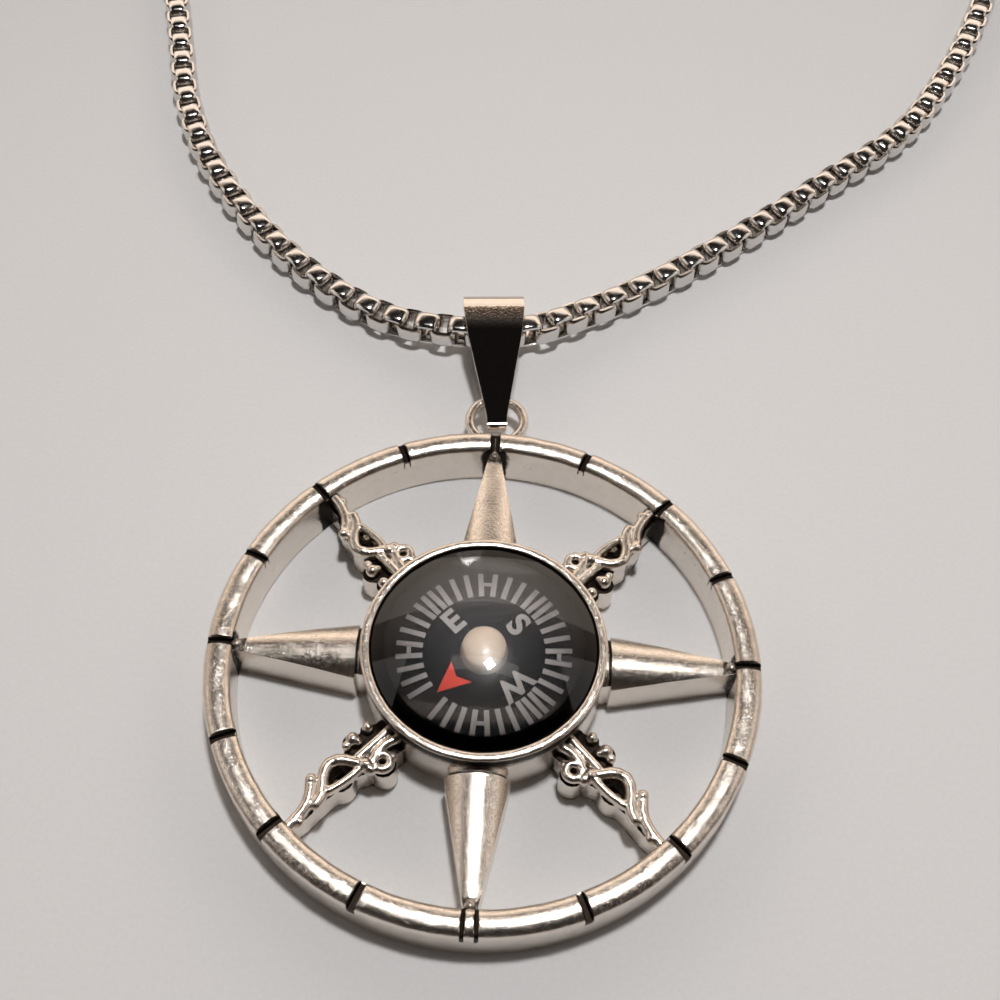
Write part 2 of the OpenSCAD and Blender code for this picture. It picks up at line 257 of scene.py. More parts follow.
# Rows of points on the walls, by their height, and the last ones by their drop from the crown
RING_OUTER_ROWS = (1.0, 2.2)
RING_INNER_ROWS = (3.0, 2.2, 1.3, 0.6)
OUTER_DROP, INNER_DROP = 0.5, 0.3
RING_WAVES = [(1.3, 0.035), (0.45, 0.012)]
RING_CAST_FROM = 1.0
GROOVES = 16
GROOVE_W = 0.62
GROOVE_DEPTH = 0.75
GROOVE_EDGE = 0.16
GROOVE_LOW = 3.2
# Grooves that differ, by their angle: shares of width and depth, and for a pair how far each
# stands from the middle, as a share of the width
GROOVE_KINDS = {90: (1.2, 1.1, 0.0), -90: (0.5, 0.4, 0.8)}
# How much oxide stays on a groove's floor and sides, on the inner wall, on the line above it,
# and on the wall beside each ray and ornament, with its reach to each side
FLOOR_OXIDE, SIDE_OXIDE = 0.42, 2.6
WALL_OXIDE, LINE_OXIDE = 0.22, 0.5
JOINT_OXIDE, JOINT_REACH = 0.9, 1.9
JOINTS = 8
LINE_OUT, LINE_W, LINE_DROP = 0.13, 0.12, 0.2


def groove_depth_at(angle):
    """Depth of the grooves at an angle on the ring, in millimetres."""
    spacing = math.tau / GROOVES
    nearest = round(angle / spacing) * spacing
    wide, deep, apart = GROOVE_KINDS.get(round(math.degrees(nearest)), (1.0, 1.0, 0.0))
    gap = abs(abs(angle - nearest) * (RING_R - RING_W / 2) - GROOVE_W * apart)
    ramp = clamped((GROOVE_W * wide / 2 - gap) / GROOVE_EDGE + 0.5)
    return GROOVE_DEPTH * deep * ramp * ramp * (3 - 2 * ramp)


def ring_oxide_and_shade(points, crown):
    """The places on the ring that keep black patina, and its painted shade by the floor, one row of
    values for each kind.
    """
    radius, up = radii_of(points), points[:, 2]
    angles = np.arctan2(points[:, 1], points[:, 0])
    filed = np.array([groove_depth_at(a) for a in angles]) / GROOVE_DEPTH
    filed = filed.clip(0, 1) * (up > GROOVE_LOW)
    grooves = np.where(filed > 0.02, FLOOR_OXIDE + SIDE_OXIDE * filed * (1 - filed), 0)
    grooves_outside = filed * (radius > RING_R - 0.3)
    wall = (radius < RING_RI + 0.25) * WALL_OXIDE
    line = np.clip(1 - abs(radius - RING_RI - LINE_OUT) / LINE_W, 0, 1)
    line = line * (up > crown - LINE_DROP) * LINE_OXIDE
    half = math.pi / JOINTS
    to_joint = abs((angles + half) % (2 * half) - half) * RING_R
    joint = np.clip(JOINT_REACH - to_joint, 0, JOINT_OXIDE) * (radius < RING_RI + 0.1)
    # The last row is painted shade, a dark band where the ring meets the floor
    return grooves, grooves_outside, wall, line, joint, foot_painted_shade(points, height=0.4)


def make_ring():
    crown = RING_H - RING_CROWN
    section = [(RING_RI, RING_EDGE), (RING_RI + RING_EDGE, 0), (RING_R - RING_EDGE, 0),
               (RING_R, RING_EDGE)]
    section += [(RING_R, z) for z in RING_OUTER_ROWS + (crown - OUTER_DROP,)]
    section += arc((RING_R - RING_W / 2, crown), (RING_W / 2, RING_CROWN), 0, 180)
    section += [(RING_RI, z) for z in (crown - INNER_DROP,) + RING_INNER_ROWS]
    bm = bmesh.new()
    spun(bm, section, RING_STEPS, parts=GROOVES)
    cast_uneven(bm, RING_WAVES, above=RING_CAST_FROM)
    for v in bm.verts:
        if v.co.z > crown - INNER_DROP:
            floor = RING_H - groove_depth_at(math.atan2(v.co.y, v.co.x))
            v.co.z = min(v.co.z, floor)
    ring = finished(bm, "ring", stands_for="compass_frame")
    points = points_of(ring.data)
    paint_oxide_and_shade(ring, ring_oxide_and_shade(points, crown), rounds=10, depth=0.06)
    return ring


ring = make_ring()

# %% [markdown]
# The cup in the middle holds the compass. Its rim is rolled over to a rounded bright
# edge, with a narrow dark step inside it where the clear dome is pressed in. One spun
# section makes the floor, the wall, the rim and the step.

# %% The cup
HUB_R = 9.85
HUB_H = frame_high.z / MM
HUB_WALL = 0.66
HUB_FLOOR = 0.9
HUB_FOOT = 0.2
HUB_ROWS = (1.5, 3.0)
HUB_STEPS = 384
HUB_WAVES = [(1.1, 0.03), (0.4, 0.012)]
HUB_CAST_DEPTH = 1.2
# Oxide stays in the dome's step and on a narrow line under the rim
STEP_DARK = 0.06
UNDER_RIM, UNDER_RIM_W, UNDER_RIM_OXIDE = 0.45, 0.12, 0.5
RIM_RISE = 0.20
RIM_LIP = 0.12
# Under the rim: out by a share of the lip, and down from the rim's middle
RIM_ROOT = [(0.0, 0.55), (0.4, 0.35)]
# The step for the dome: in from the wall, and down from the rim's middle
DOME_STEP = [(-0.02, 0.0), (0.05, 0.08), (0.0, 0.25)]


def make_cup():
    rim = HUB_H - RIM_RISE
    inner = HUB_R - HUB_WALL
    half = (HUB_WALL + RIM_LIP) / 2
    section = [(0, 0), (HUB_R / 2, 0), (HUB_R - HUB_FOOT, 0), (HUB_R, HUB_FOOT)]
    section += [(HUB_R, z) for z in HUB_ROWS]
    section += [(HUB_R + RIM_LIP * share, rim - down) for share, down in RIM_ROOT]
    section += arc((HUB_R + RIM_LIP - half, rim), (half, RIM_RISE), -25, 165)
    section += [(inner - step, rim - down) for step, down in DOME_STEP]
    section += [(inner, HUB_FLOOR), (0, HUB_FLOOR)]
    bm = bmesh.new()
    spun(bm, section, HUB_STEPS, closed=False, parts=4)
    cast_uneven(bm, HUB_WAVES, above=HUB_H - HUB_CAST_DEPTH)
    cup = finished(bm, "hub_cup", stands_for="compass_frame")
    points = points_of(cup.data)
    radius = radii_of(points)
    step = (radius < inner + STEP_DARK) * 1.0
    under = (radius > HUB_R - UNDER_RIM_W) & (abs(points[:, 2] - rim + UNDER_RIM) < UNDER_RIM_W)
    # The last place is painted shade, a dark band at the foot of the cup
    paint_oxide_and_shade(cup, [step, under * UNDER_RIM_OXIDE, foot_painted_shade(points, height=0.6)],
                rounds=6, depth=0.08)
    return cup


cup = make_cup()

# %% [markdown]
# Four long rays reach from the cup to the ring. Each has upright sides under a flatly
# rounded back that narrows to a point. It starts with a narrow low neck and a sharp
# shoulder, where oxide stays. One section is extruded from station to station, and each
# station gets the arc of a sunk cone, as in the CAD model.

# %% The rays
RAY_W = 5.1
RAY_TIP_W = 0.95
RAY_SIDE_H = 3.5
RAY_RISE = 1.3
RAY_TIP_RISE = 0.25
RAY_BEAD_R = 0.5
RAY_SINK = 0.3
RAY_NECK_DROP = 0.28
RAY_NECK_END = 0.51
RAY_NECK_STEP = 0.05
RAY_EDGE_DROP = 0.08
RAY_EDGE_OUT = 0.02
RAY_STEPS = 18
RAY_BACK_STEPS = 20
RAY_WAVES = [(1.6, 0.03)]
# Oxide stays in the neck, from and to these distances from the cup, and on the tip
NECK_DARK = (0.43, 0.55)
TIP_DARK, TIP_OXIDE = 0.9, 0.6
# Stations by the cup: distance from it, and share of the full width
RAY_STATIONS = [(-RAY_SINK, 0.84), (RAY_NECK_END - RAY_NECK_STEP, 0.84), (RAY_NECK_END, 0.96),
                (0.60, 0.99), (0.7, 1.0)]
#        name, degrees from east, share of the width
RAYS = [("ray_east", 0, 1.0), ("ray_north", 90, 1.0), ("ray_west", 180, 1.0),
        ("ray_south", 270, 1.07)]


def ray_stations():
    """(distance from the middle, half width) pairs from the cup to the ring."""
    reach = RING_RI - HUB_R
    first = RAY_STATIONS[-1][0]
    last = reach + RAY_SINK
    rows = RAY_STATIONS + [(first + (last - first) * i / RAY_STEPS, 1.0)
                           for i in range(1, RAY_STEPS + 1)]
    return [(HUB_R + x, share * (RAY_W + (RAY_TIP_W - RAY_W) * x / reach) / 2)
            for x, share in rows]


def ray_section(x, half):
    """Upright sides under an arc of the sunk cone at this distance."""
    at_hub = (RAY_W ** 2 / 4 + RAY_RISE ** 2) / (2 * RAY_RISE)
    sunk = at_hub - RAY_RISE
    share = clamped((x - HUB_R) / (RING_RI - HUB_R))
    cone = at_hub + (sunk + RAY_TIP_RISE - at_hub) * share
    drop = RAY_NECK_DROP * clamped((HUB_R + RAY_NECK_END - x) / RAY_NECK_STEP)
    base = RAY_SIDE_H - sunk - drop
    turns = [math.pi * i / RAY_BACK_STEPS for i in range(RAY_BACK_STEPS + 1)]
    over = [-half * math.cos(a) for a in turns]
    back = [(x, y, base + math.sqrt(cone ** 2 - y ** 2)) for y in over]
    middle, edge = RAY_SIDE_H / 2, back[0][2] - RAY_EDGE_DROP
    wide = half + RAY_EDGE_OUT
    left = [(x, -half, 0), (x, -half, middle), (x, -wide, edge)]
    return left + back + [(x, wide, edge), (x, half, middle), (x, half, 0)]


def make_ray(name, turn, swell):
    stations = [(x, half * swell) for x, half in ray_stations()]
    bm = bmesh.new()
    geom = chain_of(bm, ray_section(*stations[0]), closed=True)
    edges, row = edges_in(geom), verts_in(geom)
    bmesh.ops.contextual_create(bm, geom=geom)
    for x, half in stations[1:]:
        new = bmesh.ops.extrude_edge_only(bm, edges=edges)["geom"]
        edges = edges_in(new)
        after = {v.co.to_tuple(5): v for v in verts_in(new)}
        row = [after[v.co.to_tuple(5)] for v in row]
        for v, point in zip(row, ray_section(x, half)):
            v.co = point
    bmesh.ops.contextual_create(bm, geom=edges)
    bead = Matrix.Translation((RING_RI - RAY_BEAD_R / 2, 0, RAY_SIDE_H + RAY_TIP_RISE))
    bmesh.ops.create_uvsphere(bm, u_segments=24, v_segments=16, radius=RAY_BEAD_R, matrix=bead)
    cast_uneven(bm, RAY_WAVES, above=0.5)
    turned(bm, math.radians(turn))
    ray = finished(bm, name, stands_for="compass_frame", sharp=35)
    points = points_of(ray.data)
    radius = radii_of(points)
    neck = ((radius > HUB_R + NECK_DARK[0]) & (radius < HUB_R + NECK_DARK[1])) * 1.0
    tip = (radius > RING_RI - TIP_DARK) * TIP_OXIDE
    # The last place is painted shade, a dark band at the foot of the ray
    paint_oxide_and_shade(ray, [neck, tip, foot_painted_shade(points, height=0.5)], rounds=5, depth=0.08)
    return ray


rays = [make_ray(*row) for row in RAYS]

# %% [markdown]
# Between the rays stand four cast scroll ornaments. Each has a little ring and a stem by
# the cup, a wave of wire round a dark hollow with two beads in it, and a spike out to the
# ring. The maker's model would be built up from wax balls and wire. Here balls, rings and
# discs are put down the same way, a voxel remesh melts them into one skin, bowls are cut
# out of it, and smoothing rounds what is left. It is made once and put in its four
# places, two of them mirrored, so that the whole pattern is alike left and right.

# %% The scroll ornaments
SCROLL_H = 3.62
BEAD_SWELL = 1.35
SCROLL_PLATE_H = 3.0
SCROLL_W = 5.2
SCROLL_VOXEL = 0.085
SCROLL_SPAN = RING_RI - HUB_R
WIRE_STEP = 0.45
WIRE_THICKEST = 0.51
DISC_SEGMENTS = 40
WIRE_SEGMENTS = 14
WIRE_RING_STEPS = 48
# Painted shade on what faces up low down, the plate that fills the deep gaps between the wires, and
# oxide by the cup
LOW_UP, LOW_FADE, LOW_FACING, LOW_PAINTED_SHADE = 0.35, 0.2, 0.35, 0.95
BY_CUP, BY_CUP_OXIDE = 0.3, 0.6
BOWL_UP = 0.2
BOWL_DEPTH = 1.7
# Places are shares: along from cup to ring, and across with a plus towards the north or
# south ray, as a share of half the ornament's width
#                along  across radius, a share too
SCROLL_LOBES = [(0.19, 0.56, 0.40), (0.10, -0.60, 0.26), (0.25, -0.58, 0.34), (0.12, 0.15, 0.22),
                (0.31, 0.20, 0.26), (0.49, -0.05, 0.50), (0.69, -0.04, 0.32), (0.81, 0.08, 0.25)]
#                along    sides of the plate
SCROLL_PLATE = [(-0.04, -0.66, 0.60), (0.30, -0.60, 0.46), (0.42, -0.44, 0.30), (0.62, -0.42, 0.28),
                (0.76, -0.30, 0.30), (0.86, -0.04, 0.34), (1.04, 0.02, 0.32)]
#                along  across up     radius in mm
SCROLL_BEADS = [(0.243, -0.60, -0.05, 0.44), (0.31, -0.56, -0.10, 0.32), (0.10, -0.60, -0.10, 0.38),
                (0.226, -0.43, 0.00, 0.26), (0.11, 0.63, -0.05, 0.30), (0.30, 0.30, 0.12, 0.40),
                (0.44, 0.25, -0.35, 0.32), (0.54, 0.13, -0.45, 0.30), (0.665, -0.41, 0.10, 0.38),
                (0.92, 0.34, 0.00, 0.36), (0.43, -0.37, 0.08, 0.36)]
#                along   across radius of the ring and of its wire in mm
SCROLL_RINGS = [(0.195, 0.555, 0.62, 0.39)]
#                along   across half length and half width in mm
SCROLL_BOWLS = [(0.195, 0.555, 0.45, 0.45), (0.495, -0.045, 0.95, 0.64)]
# Wires: radius in mm, then places along and across
SCROLL_WIRES = [
    (WIRE_THICKEST,
     [(0.295, 0.50), (0.305, 0.28), (0.345, 0.03), (0.385, -0.22), (0.43, -0.39), (0.49, -0.46),
      (0.545, -0.39), (0.60, -0.21), (0.645, 0.02), (0.70, 0.20), (0.76, 0.27)]),
    (0.49, [(0.665, -0.41), (0.70, -0.26), (0.745, -0.07), (0.80, 0.08), (0.87, 0.18),
            (0.96, 0.24), (1.02, 0.27)]),
    (0.34, [(0.36, 0.27), (0.44, 0.29), (0.52, 0.27), (0.62, 0.20)]),
    (0.42, [(0.00, 0.28), (0.06, 0.20), (0.10, 0.18), (0.18, 0.22), (0.25, 0.36)]),
    (0.42, [(-0.02, -0.10), (0.05, -0.08), (0.22, -0.05), (0.31, -0.04)])]
#          name, degrees from east, side
SCROLLS = [("scroll_north_east", 45, 1), ("scroll_north_west", 135, -1),
           ("scroll_south_west", 225, 1), ("scroll_south_east", 315, -1)]


def along(share):
    return HUB_R + share * SCROLL_SPAN


def across(share):
    return share * SCROLL_W / 2


def disc(bm, x, y, radius, top):
    bmesh.ops.create_cone(bm, cap_ends=True, segments=DISC_SEGMENTS, radius1=radius,
                          radius2=radius, depth=top, matrix=Matrix.Translation((x, y, top / 2)))


def ball(bm, x, y, z, radius):
    bmesh.ops.create_icosphere(bm, subdivisions=2, radius=radius,
                               matrix=Matrix.Translation((x, y, z)))


def wire_ring(bm, x, y, z, radius, wire):
    """A ring of wire: a small circle spun about its own middle."""
    start = Matrix.Translation((x + radius, y, z)) @ Matrix.Rotation(math.pi / 2, 4, "X")
    circle = bmesh.ops.create_circle(bm, segments=WIRE_SEGMENTS, radius=wire,
                                     matrix=start)["verts"]
    edges = list({edge for v in circle for edge in v.link_edges})
    bmesh.ops.spin(bm, geom=circle + edges, cent=(x, y, z), axis=(0, 0, 1), angle=math.tau,
                   steps=WIRE_RING_STEPS, use_merge=True)


def build_scroll_mass(bm):
    """The plate with its lobes, from the ground up."""
    for share, side, radius in SCROLL_LOBES:
        disc(bm, along(share), across(side), across(radius), SCROLL_PLATE_H)
    rows = [(along(share), across(side), 0) for share, side, _ in SCROLL_PLATE]
    rows += [(along(share), across(side), 0) for share, _, side in reversed(SCROLL_PLATE)]
    base = bmesh.ops.contextual_create(bm, geom=chain_of(bm, rows, closed=True))["faces"]
    top = bmesh.ops.extrude_face_region(bm, geom=base)["geom"]
    bmesh.ops.translate(bm, vec=(0, 0, SCROLL_PLATE_H - 0.1), verts=verts_in(top))
    bmesh.ops.contextual_create(bm, geom=[e for e in bm.edges if e.is_boundary])


def build_scroll_wires(bm):
    for share, side, radius, wire in SCROLL_RINGS:
        wire_ring(bm, along(share), across(side), SCROLL_H, radius, wire)
    for share, side, up, radius in SCROLL_BEADS:
        ball(bm, along(share), across(side), SCROLL_H + up, radius * BEAD_SWELL)
    for wire, places in SCROLL_WIRES:
        rows = np.array([(along(a), across(b)) for a, b in places])
        at = np.concatenate([[0], np.cumsum(np.linalg.norm(np.diff(rows, axis=0), axis=1))])
        for s in np.arange(0, at[-1], wire * WIRE_STEP):
            x, y = (np.interp(s, at, column) for column in rows.T)
            ball(bm, x, y, SCROLL_H + (WIRE_THICKEST - wire) / 2, wire)
            # a foot under the wire joins it to the plate
            ball(bm, x, y, (SCROLL_H + SCROLL_PLATE_H) / 2, wire * 0.9)


def bowl_cutters(bm):
    for share, side, half_x, half_y in SCROLL_BOWLS:
        at = Matrix.Translation((along(share), across(side), SCROLL_PLATE_H + BOWL_UP))
        bmesh.ops.create_icosphere(bm, subdivisions=4, radius=1,
                                   matrix=at @ Matrix.Diagonal((half_x, half_y, BOWL_DEPTH, 1)))


def scratch_object(name, build):
    """A plain object in millimetres that only serves to work out a mesh."""
    bm = bmesh.new()
    build(bm)
    bmesh.ops.recalc_face_normals(bm, faces=bm.faces)
    scratch = bpy.data.objects.new(name, new_mesh(bm, name))
    scene.collection.objects.link(scratch)
    return scratch


def bake_modifiers(scratch):
    deps = bpy.context.evaluated_depsgraph_get()
    mesh = bpy.data.meshes.new_from_object(scratch.evaluated_get(deps))
    scratch.modifiers.clear()
    scratch.data = mesh
    return mesh


def melted(scratch, rounds):
    """Fuses overlapping forms into one skin and rounds it."""
    remesh = scratch.modifiers.new("melt", "REMESH")
    remesh.mode = "VOXEL"
    remesh.voxel_size = SCROLL_VOXEL
    soften = scratch.modifiers.new("soften", "SMOOTH")
    soften.factor = 0.5
    soften.iterations = rounds
    return bake_modifiers(scratch)


def scroll_mesh():
    mass = scratch_object("scroll_mass", build_scroll_mass)
    melted(mass, 4)
    cutter = scratch_object("scroll_bowls", bowl_cutters)
    cut = mass.modifiers.new("bowls", "BOOLEAN")
    cut.operation = "DIFFERENCE"
    cut.object = cutter
    bake_modifiers(mass)
    bm = bmesh.new()
    bm.from_mesh(mass.data)
    build_scroll_wires(bm)
    bm.to_mesh(mass.data)
    bm.free()
    mesh = melted(mass, 3)
    bpy.data.objects.remove(mass)
    bpy.data.objects.remove(cutter)
    return mesh


def make_scroll(source, name, turn, side):
    mesh = source.copy()
    mesh.transform(Matrix.Scale(MM, 4) @ Matrix.Rotation(math.radians(turn), 4, "Z")
                   @ Matrix.Diagonal((1, side, 1, 1)))
    if side < 0:
        mesh.flip_normals()
    scroll = placed(mesh, name, stands_for="compass_frame", sharp=180)
    points = points_of(mesh)
    facing_up = vectors_of(mesh, "normal")[:, 2] > LOW_FACING
    low = np.clip((SCROLL_PLATE_H + LOW_UP - points[:, 2]) / LOW_FADE, 0, 1)
    by_cup = (radii_of(points) < HUB_R + BY_CUP) * BY_CUP_OXIDE
    # The low plate between the wires is painted dark as shade, the foot gets painted shade by the
    # floor, and the places by the cup keep oxide
    paint_oxide_and_shade(scroll, [low * facing_up * LOW_PAINTED_SHADE, by_cup, foot_painted_shade(points, height=0.5)],
                rounds=12, depth=0.11)
    return scroll


scroll_source = scroll_mesh()
scrolls = [make_scroll(scroll_source, *row) for row in SCROLLS]

# %% [markdown]
# A round wire loop stands on the north of the ring, cast in one with it. The wire is a
# circle spun about the loop's middle.

# %% The loop
EYE_WIRE_R = 0.47
EYE_Z = 2.6
EYE_R = 3.0
EYE_Y = frame_high.y / MM - EYE_R
EYE_WAVES = [(0.7, 0.04)]
EYE_DARK, EYE_DARK_FADE = 0.7, 0.8


def make_eye():
    bm = bmesh.new()
    wire_ring(bm, 0, EYE_Y, EYE_Z, EYE_R - EYE_WIRE_R, EYE_WIRE_R)
    cast_uneven(bm, EYE_WAVES)
    eye = finished(bm, "eye_loop", stands_for="compass_frame")
    points = points_of(eye.data)
    at_ring = np.clip((RING_R + EYE_DARK - points[:, 1]) / EYE_DARK_FADE, 0, 1)
    paint_oxide_and_shade(eye, [at_ring], rounds=4, depth=0.06)
    return eye


eye = make_eye()

# %% [markdown]
# The bail is a flat steel strip, cut wide at one end and narrow at the other, and folded
# back on itself round the chain. A line across the strip is carried station by station
# along the strip's side view: up the flat front, over the far round, down to the ground,
# back along the narrower back leaf, and round the tip. The strip then gets its thickness
# and a fine bevel, which catches the light along its edges.

# %% The bail
BAIL_LEAN = math.radians(4.1)
BAIL_T = 0.5
BAIL_TIP_W = 1.9
BAIL_SHOULDER_W = 5.25
BAIL_FAR_W = 5.9
BAIL_WIDENING = 3
BAIL_BACK_SHARE = 0.76
BAIL_PLACE_Y = 25.256
BAIL_TIP = Vector((-0.52, 2.556))
BAIL_TIP_R = 0.55
BAIL_SLOPE = 14.8
BAIL_SHOULDER_Y = 8.44
BAIL_FOOT_R = 2.6
BAIL_COLUMNS = 12
LEAF_STEPS, BEND_STEPS, DROP_STEPS, FOOT_STEPS, TIP_STEPS = 24, 10, 4, 12, 20
# The brushed band, which also gets a painted brown glint: steps from the shoulder, and steps over
# which it sets in
BRUSH_STEPS, BRUSH_FADE = 13, 6
BAIL_BEVEL = 0.09
# Bends of the far round, each a radius and the slope it ends with, in mm and degrees
BAIL_BENDS = [(11.8, 2.0), (6.0, -12.0), (1.9, -90.0)]


def walk(points, slope, radius, end, steps):
    """Adds the points of a bend that starts with one slope and ends with another."""
    y, z = points[-1]
    side = math.copysign(1, end - slope)
    centre = (y - side * radius * math.sin(math.radians(slope)),
              z + side * radius * math.cos(math.radians(slope)))
    for i in range(1, steps + 1):
        a = math.radians(slope + (end - slope) * i / steps)
        points.append((centre[0] + side * radius * math.sin(a),
                       centre[1] - side * radius * math.cos(a)))


def straight(points, end, steps):
    start = points[-1]
    points += [tuple(a + (b - a) * i / steps for a, b in zip(start, end))
               for i in range(1, steps + 1)]


def bail_stations():
    """(y, z, share of the front's width, how brushed it is) along the outside."""
    slope = math.radians(BAIL_SLOPE)
    top = tuple(BAIL_TIP + BAIL_TIP_R * Vector((-math.sin(slope), math.cos(slope))))
    points = [top]
    shoulder_z = top[1] + (BAIL_SHOULDER_Y - top[0]) * math.tan(slope)
    straight(points, (BAIL_SHOULDER_Y, shoulder_z), LEAF_STEPS)
    flat_end = len(points)
    start = BAIL_SLOPE
    for radius, end in BAIL_BENDS:
        walk(points, start, radius, end, BEND_STEPS)
        start = end
    far_end = len(points)
    foot = Vector((points[-1][0] - BAIL_FOOT_R, BAIL_FOOT_R))
    straight(points, (points[-1][0], BAIL_FOOT_R), DROP_STEPS)
    back = foot - BAIL_TIP
    lean = math.asin((BAIL_FOOT_R - BAIL_TIP_R) / back.length) - math.atan2(back.y, back.x)
    fall = math.degrees(lean)
    walk(points, -90, BAIL_FOOT_R, -180 - fall, FOOT_STEPS)
    back_start = len(points)
    under_tip = BAIL_TIP - BAIL_TIP_R * Vector((math.sin(lean), math.cos(lean)))
    straight(points, tuple(under_tip), LEAF_STEPS)
    back_end = len(points)
    walk(points, -180 - fall, BAIL_TIP_R, -360 + BAIL_SLOPE, TIP_STEPS)
    rows = []
    for i, (y, z) in enumerate(points):
        narrowing = clamped((i - far_end) / (back_start - far_end))
        widening = clamped((i - back_end) / (len(points) - back_end))
        share = 1 - (1 - BAIL_BACK_SHARE) * (narrowing - widening)
        brush = clamped((i - flat_end) / BRUSH_FADE) if i < flat_end + BRUSH_STEPS else 0.0
        rows.append((y, z, share, brush))
    return rows


def bail_width_at(y):
    """Width of the front at a distance from the middle of its tip."""
    return float(np.interp(y, (0, BAIL_SHOULDER_Y, BAIL_SHOULDER_Y + BAIL_WIDENING),
                           (BAIL_TIP_W, BAIL_SHOULDER_W, BAIL_FAR_W)))


def make_bail():
    rows = bail_stations()
    bm = bmesh.new()
    brushed = []
    last = chain_of(bm, [(0.5 - i / BAIL_COLUMNS, rows[0][0], rows[0][1])
                         for i in range(BAIL_COLUMNS + 1)])
    old = 1.0
    for i, (y, z, share, brush) in enumerate(rows):
        if i:
            last = bmesh.ops.extrude_edge_only(bm, edges=edges_in(last))["geom"]
        width = share * bail_width_at(y)
        for v in verts_in(last):
            v.co = (v.co.x * width / old, y, z)
            brushed.append(brush)
        old = width
    turned(bm, BAIL_LEAN)
    bmesh.ops.translate(bm, vec=(0, BAIL_PLACE_Y, 0), verts=bm.verts)
    piece = finished(bm, "bail_strap", stands_for="bail", sharp=50)
    paint(piece, "brushed", brushed)
    wall = piece.modifiers.new("thickness", "SOLIDIFY")
    wall.thickness = BAIL_T * MM
    wall.offset = -1
    edge = piece.modifiers.new("edge", "BEVEL")
    edge.width = BAIL_BEVEL * MM
    edge.segments = 3
    edge.limit_method = "ANGLE"
    edge.angle_limit = math.radians(60)
    edge.harden_normals = True
    return piece


bail = make_bail()

# %% [markdown]
# The chain lies along the same route as the tube in the CAD model. A few listed places
# are joined by one smooth line, which is then measured along its length.

# %% The chain's route
CHAIN_R = 1.5
CHAIN_Y = 36.935
CHAIN_LIFT = 0.860
#               x, y from where it passes the bail, and its lift in the bail as a share
CHAIN_ROUTE = [
    (1, 236, 0), (-18.5, 233, 0), (-35.5, 223.5, 0), (-48.5, 208.5, 0), (-57, 190.5, 0),
    (-61.5, 171, 0), (-63, 151, 0), (-62, 131, 0), (-58.5, 111, 0), (-53.5, 91.5, 0),
    (-47.5, 71.5, 0), (-42.5, 53, 0), (-40, 43, 0), (-37.5, 33.5, 0), (-33.5, 24, 0),
    (-27.5, 15, 0), (-20, 7, 0), (-12, 1.5, 0.3), (-4.5, -0.5, 1), (2.5, 0, 1),
    (8, 3, 0.4), (15.5, 8, 0), (25, 15.5, 0), (35.5, 25, 0), (44.5, 33.5, 0),
    (51, 43.5, 0), (56, 53.5, 0), (61, 66, 0), (67.5, 84, 0), (73, 103, 0),
    (76.5, 122.5, 0), (77.5, 142, 0), (76, 161.5, 0), (71.5, 181, 0), (63.5, 199.5, 0),
    (52, 216, 0), (38, 227.5, 0), (26, 233.5, 0), (13, 236, 0)]
ROUTE_STEPS = 24
ROUTE_REACH = 0.6


def route_points():
    """Close points on the smooth line through the route."""
    rows = np.array([(x, y + CHAIN_Y, CHAIN_R + lift * CHAIN_LIFT) for x, y, lift in CHAIN_ROUTE])
    rows = np.vstack([rows[:1], rows, rows[-1:]])
    t = np.linspace(0, 1, ROUTE_STEPS, endpoint=False)[:, None]
    pieces = []
    for a, b, c, d in zip(rows, rows[1:], rows[2:], rows[3:]):
        pieces.append(0.5 * (2 * b + (c - a) * t + (2 * a - 5 * b + 4 * c - d) * t ** 2
                             + (3 * b - a - 3 * c + d) * t ** 3))
    points = np.vstack(pieces + [rows[-1:]])
    points[:, 2] = points[:, 2].clip(CHAIN_R)
    return points


route = route_points()
route_at = np.concatenate([[0], np.cumsum(np.linalg.norm(np.diff(route, axis=0), axis=1))])
print("chain length in mm:", round(route_at[-1], 1))

# %% [markdown]
# The chain is a round box chain: each link is a short broad band bent into a closed
# loop with a domed outside, and each next link is turned a quarter and holds the one
# before by its end bar. The band's section is carried round the loop by four spins with
# straight runs between them. Links are then set down one by one along the route, a pitch
# apart, with a slow twist as a real chain has. The inside of each link is marked for
# painted shade, where the links shade each other.

# %% The chain's links
LINK_L = 2.72
LINK_H = 2.96
LINK_W = 1.95
LINK_T = 0.5
LINK_PITCH = 1.68
LINK_CORNER = 0.85
LINK_CORNER_STEPS = 3
# The band's section, in mm: in from its sides and down from its outside
LINK_EDGE, LINK_SOFT, LINK_INNER = 0.06, 0.22, 0.2
LINK_SIDE_DOWN, LINK_SOFT_DOWN = 0.20, 0.07
LINK_FLAT = 0.42
# Painted shade: how far in from a link's outline its inside is painted dark, where the links shade
# each other
LINK_SHADED_IN = 0.35
LINK_PAST_END = 0.15
LINK_WANDER = math.radians(9)
LINK_JITTER = math.radians(3)
WANDER_RATE, JITTER_RATE = 0.035, 0.9


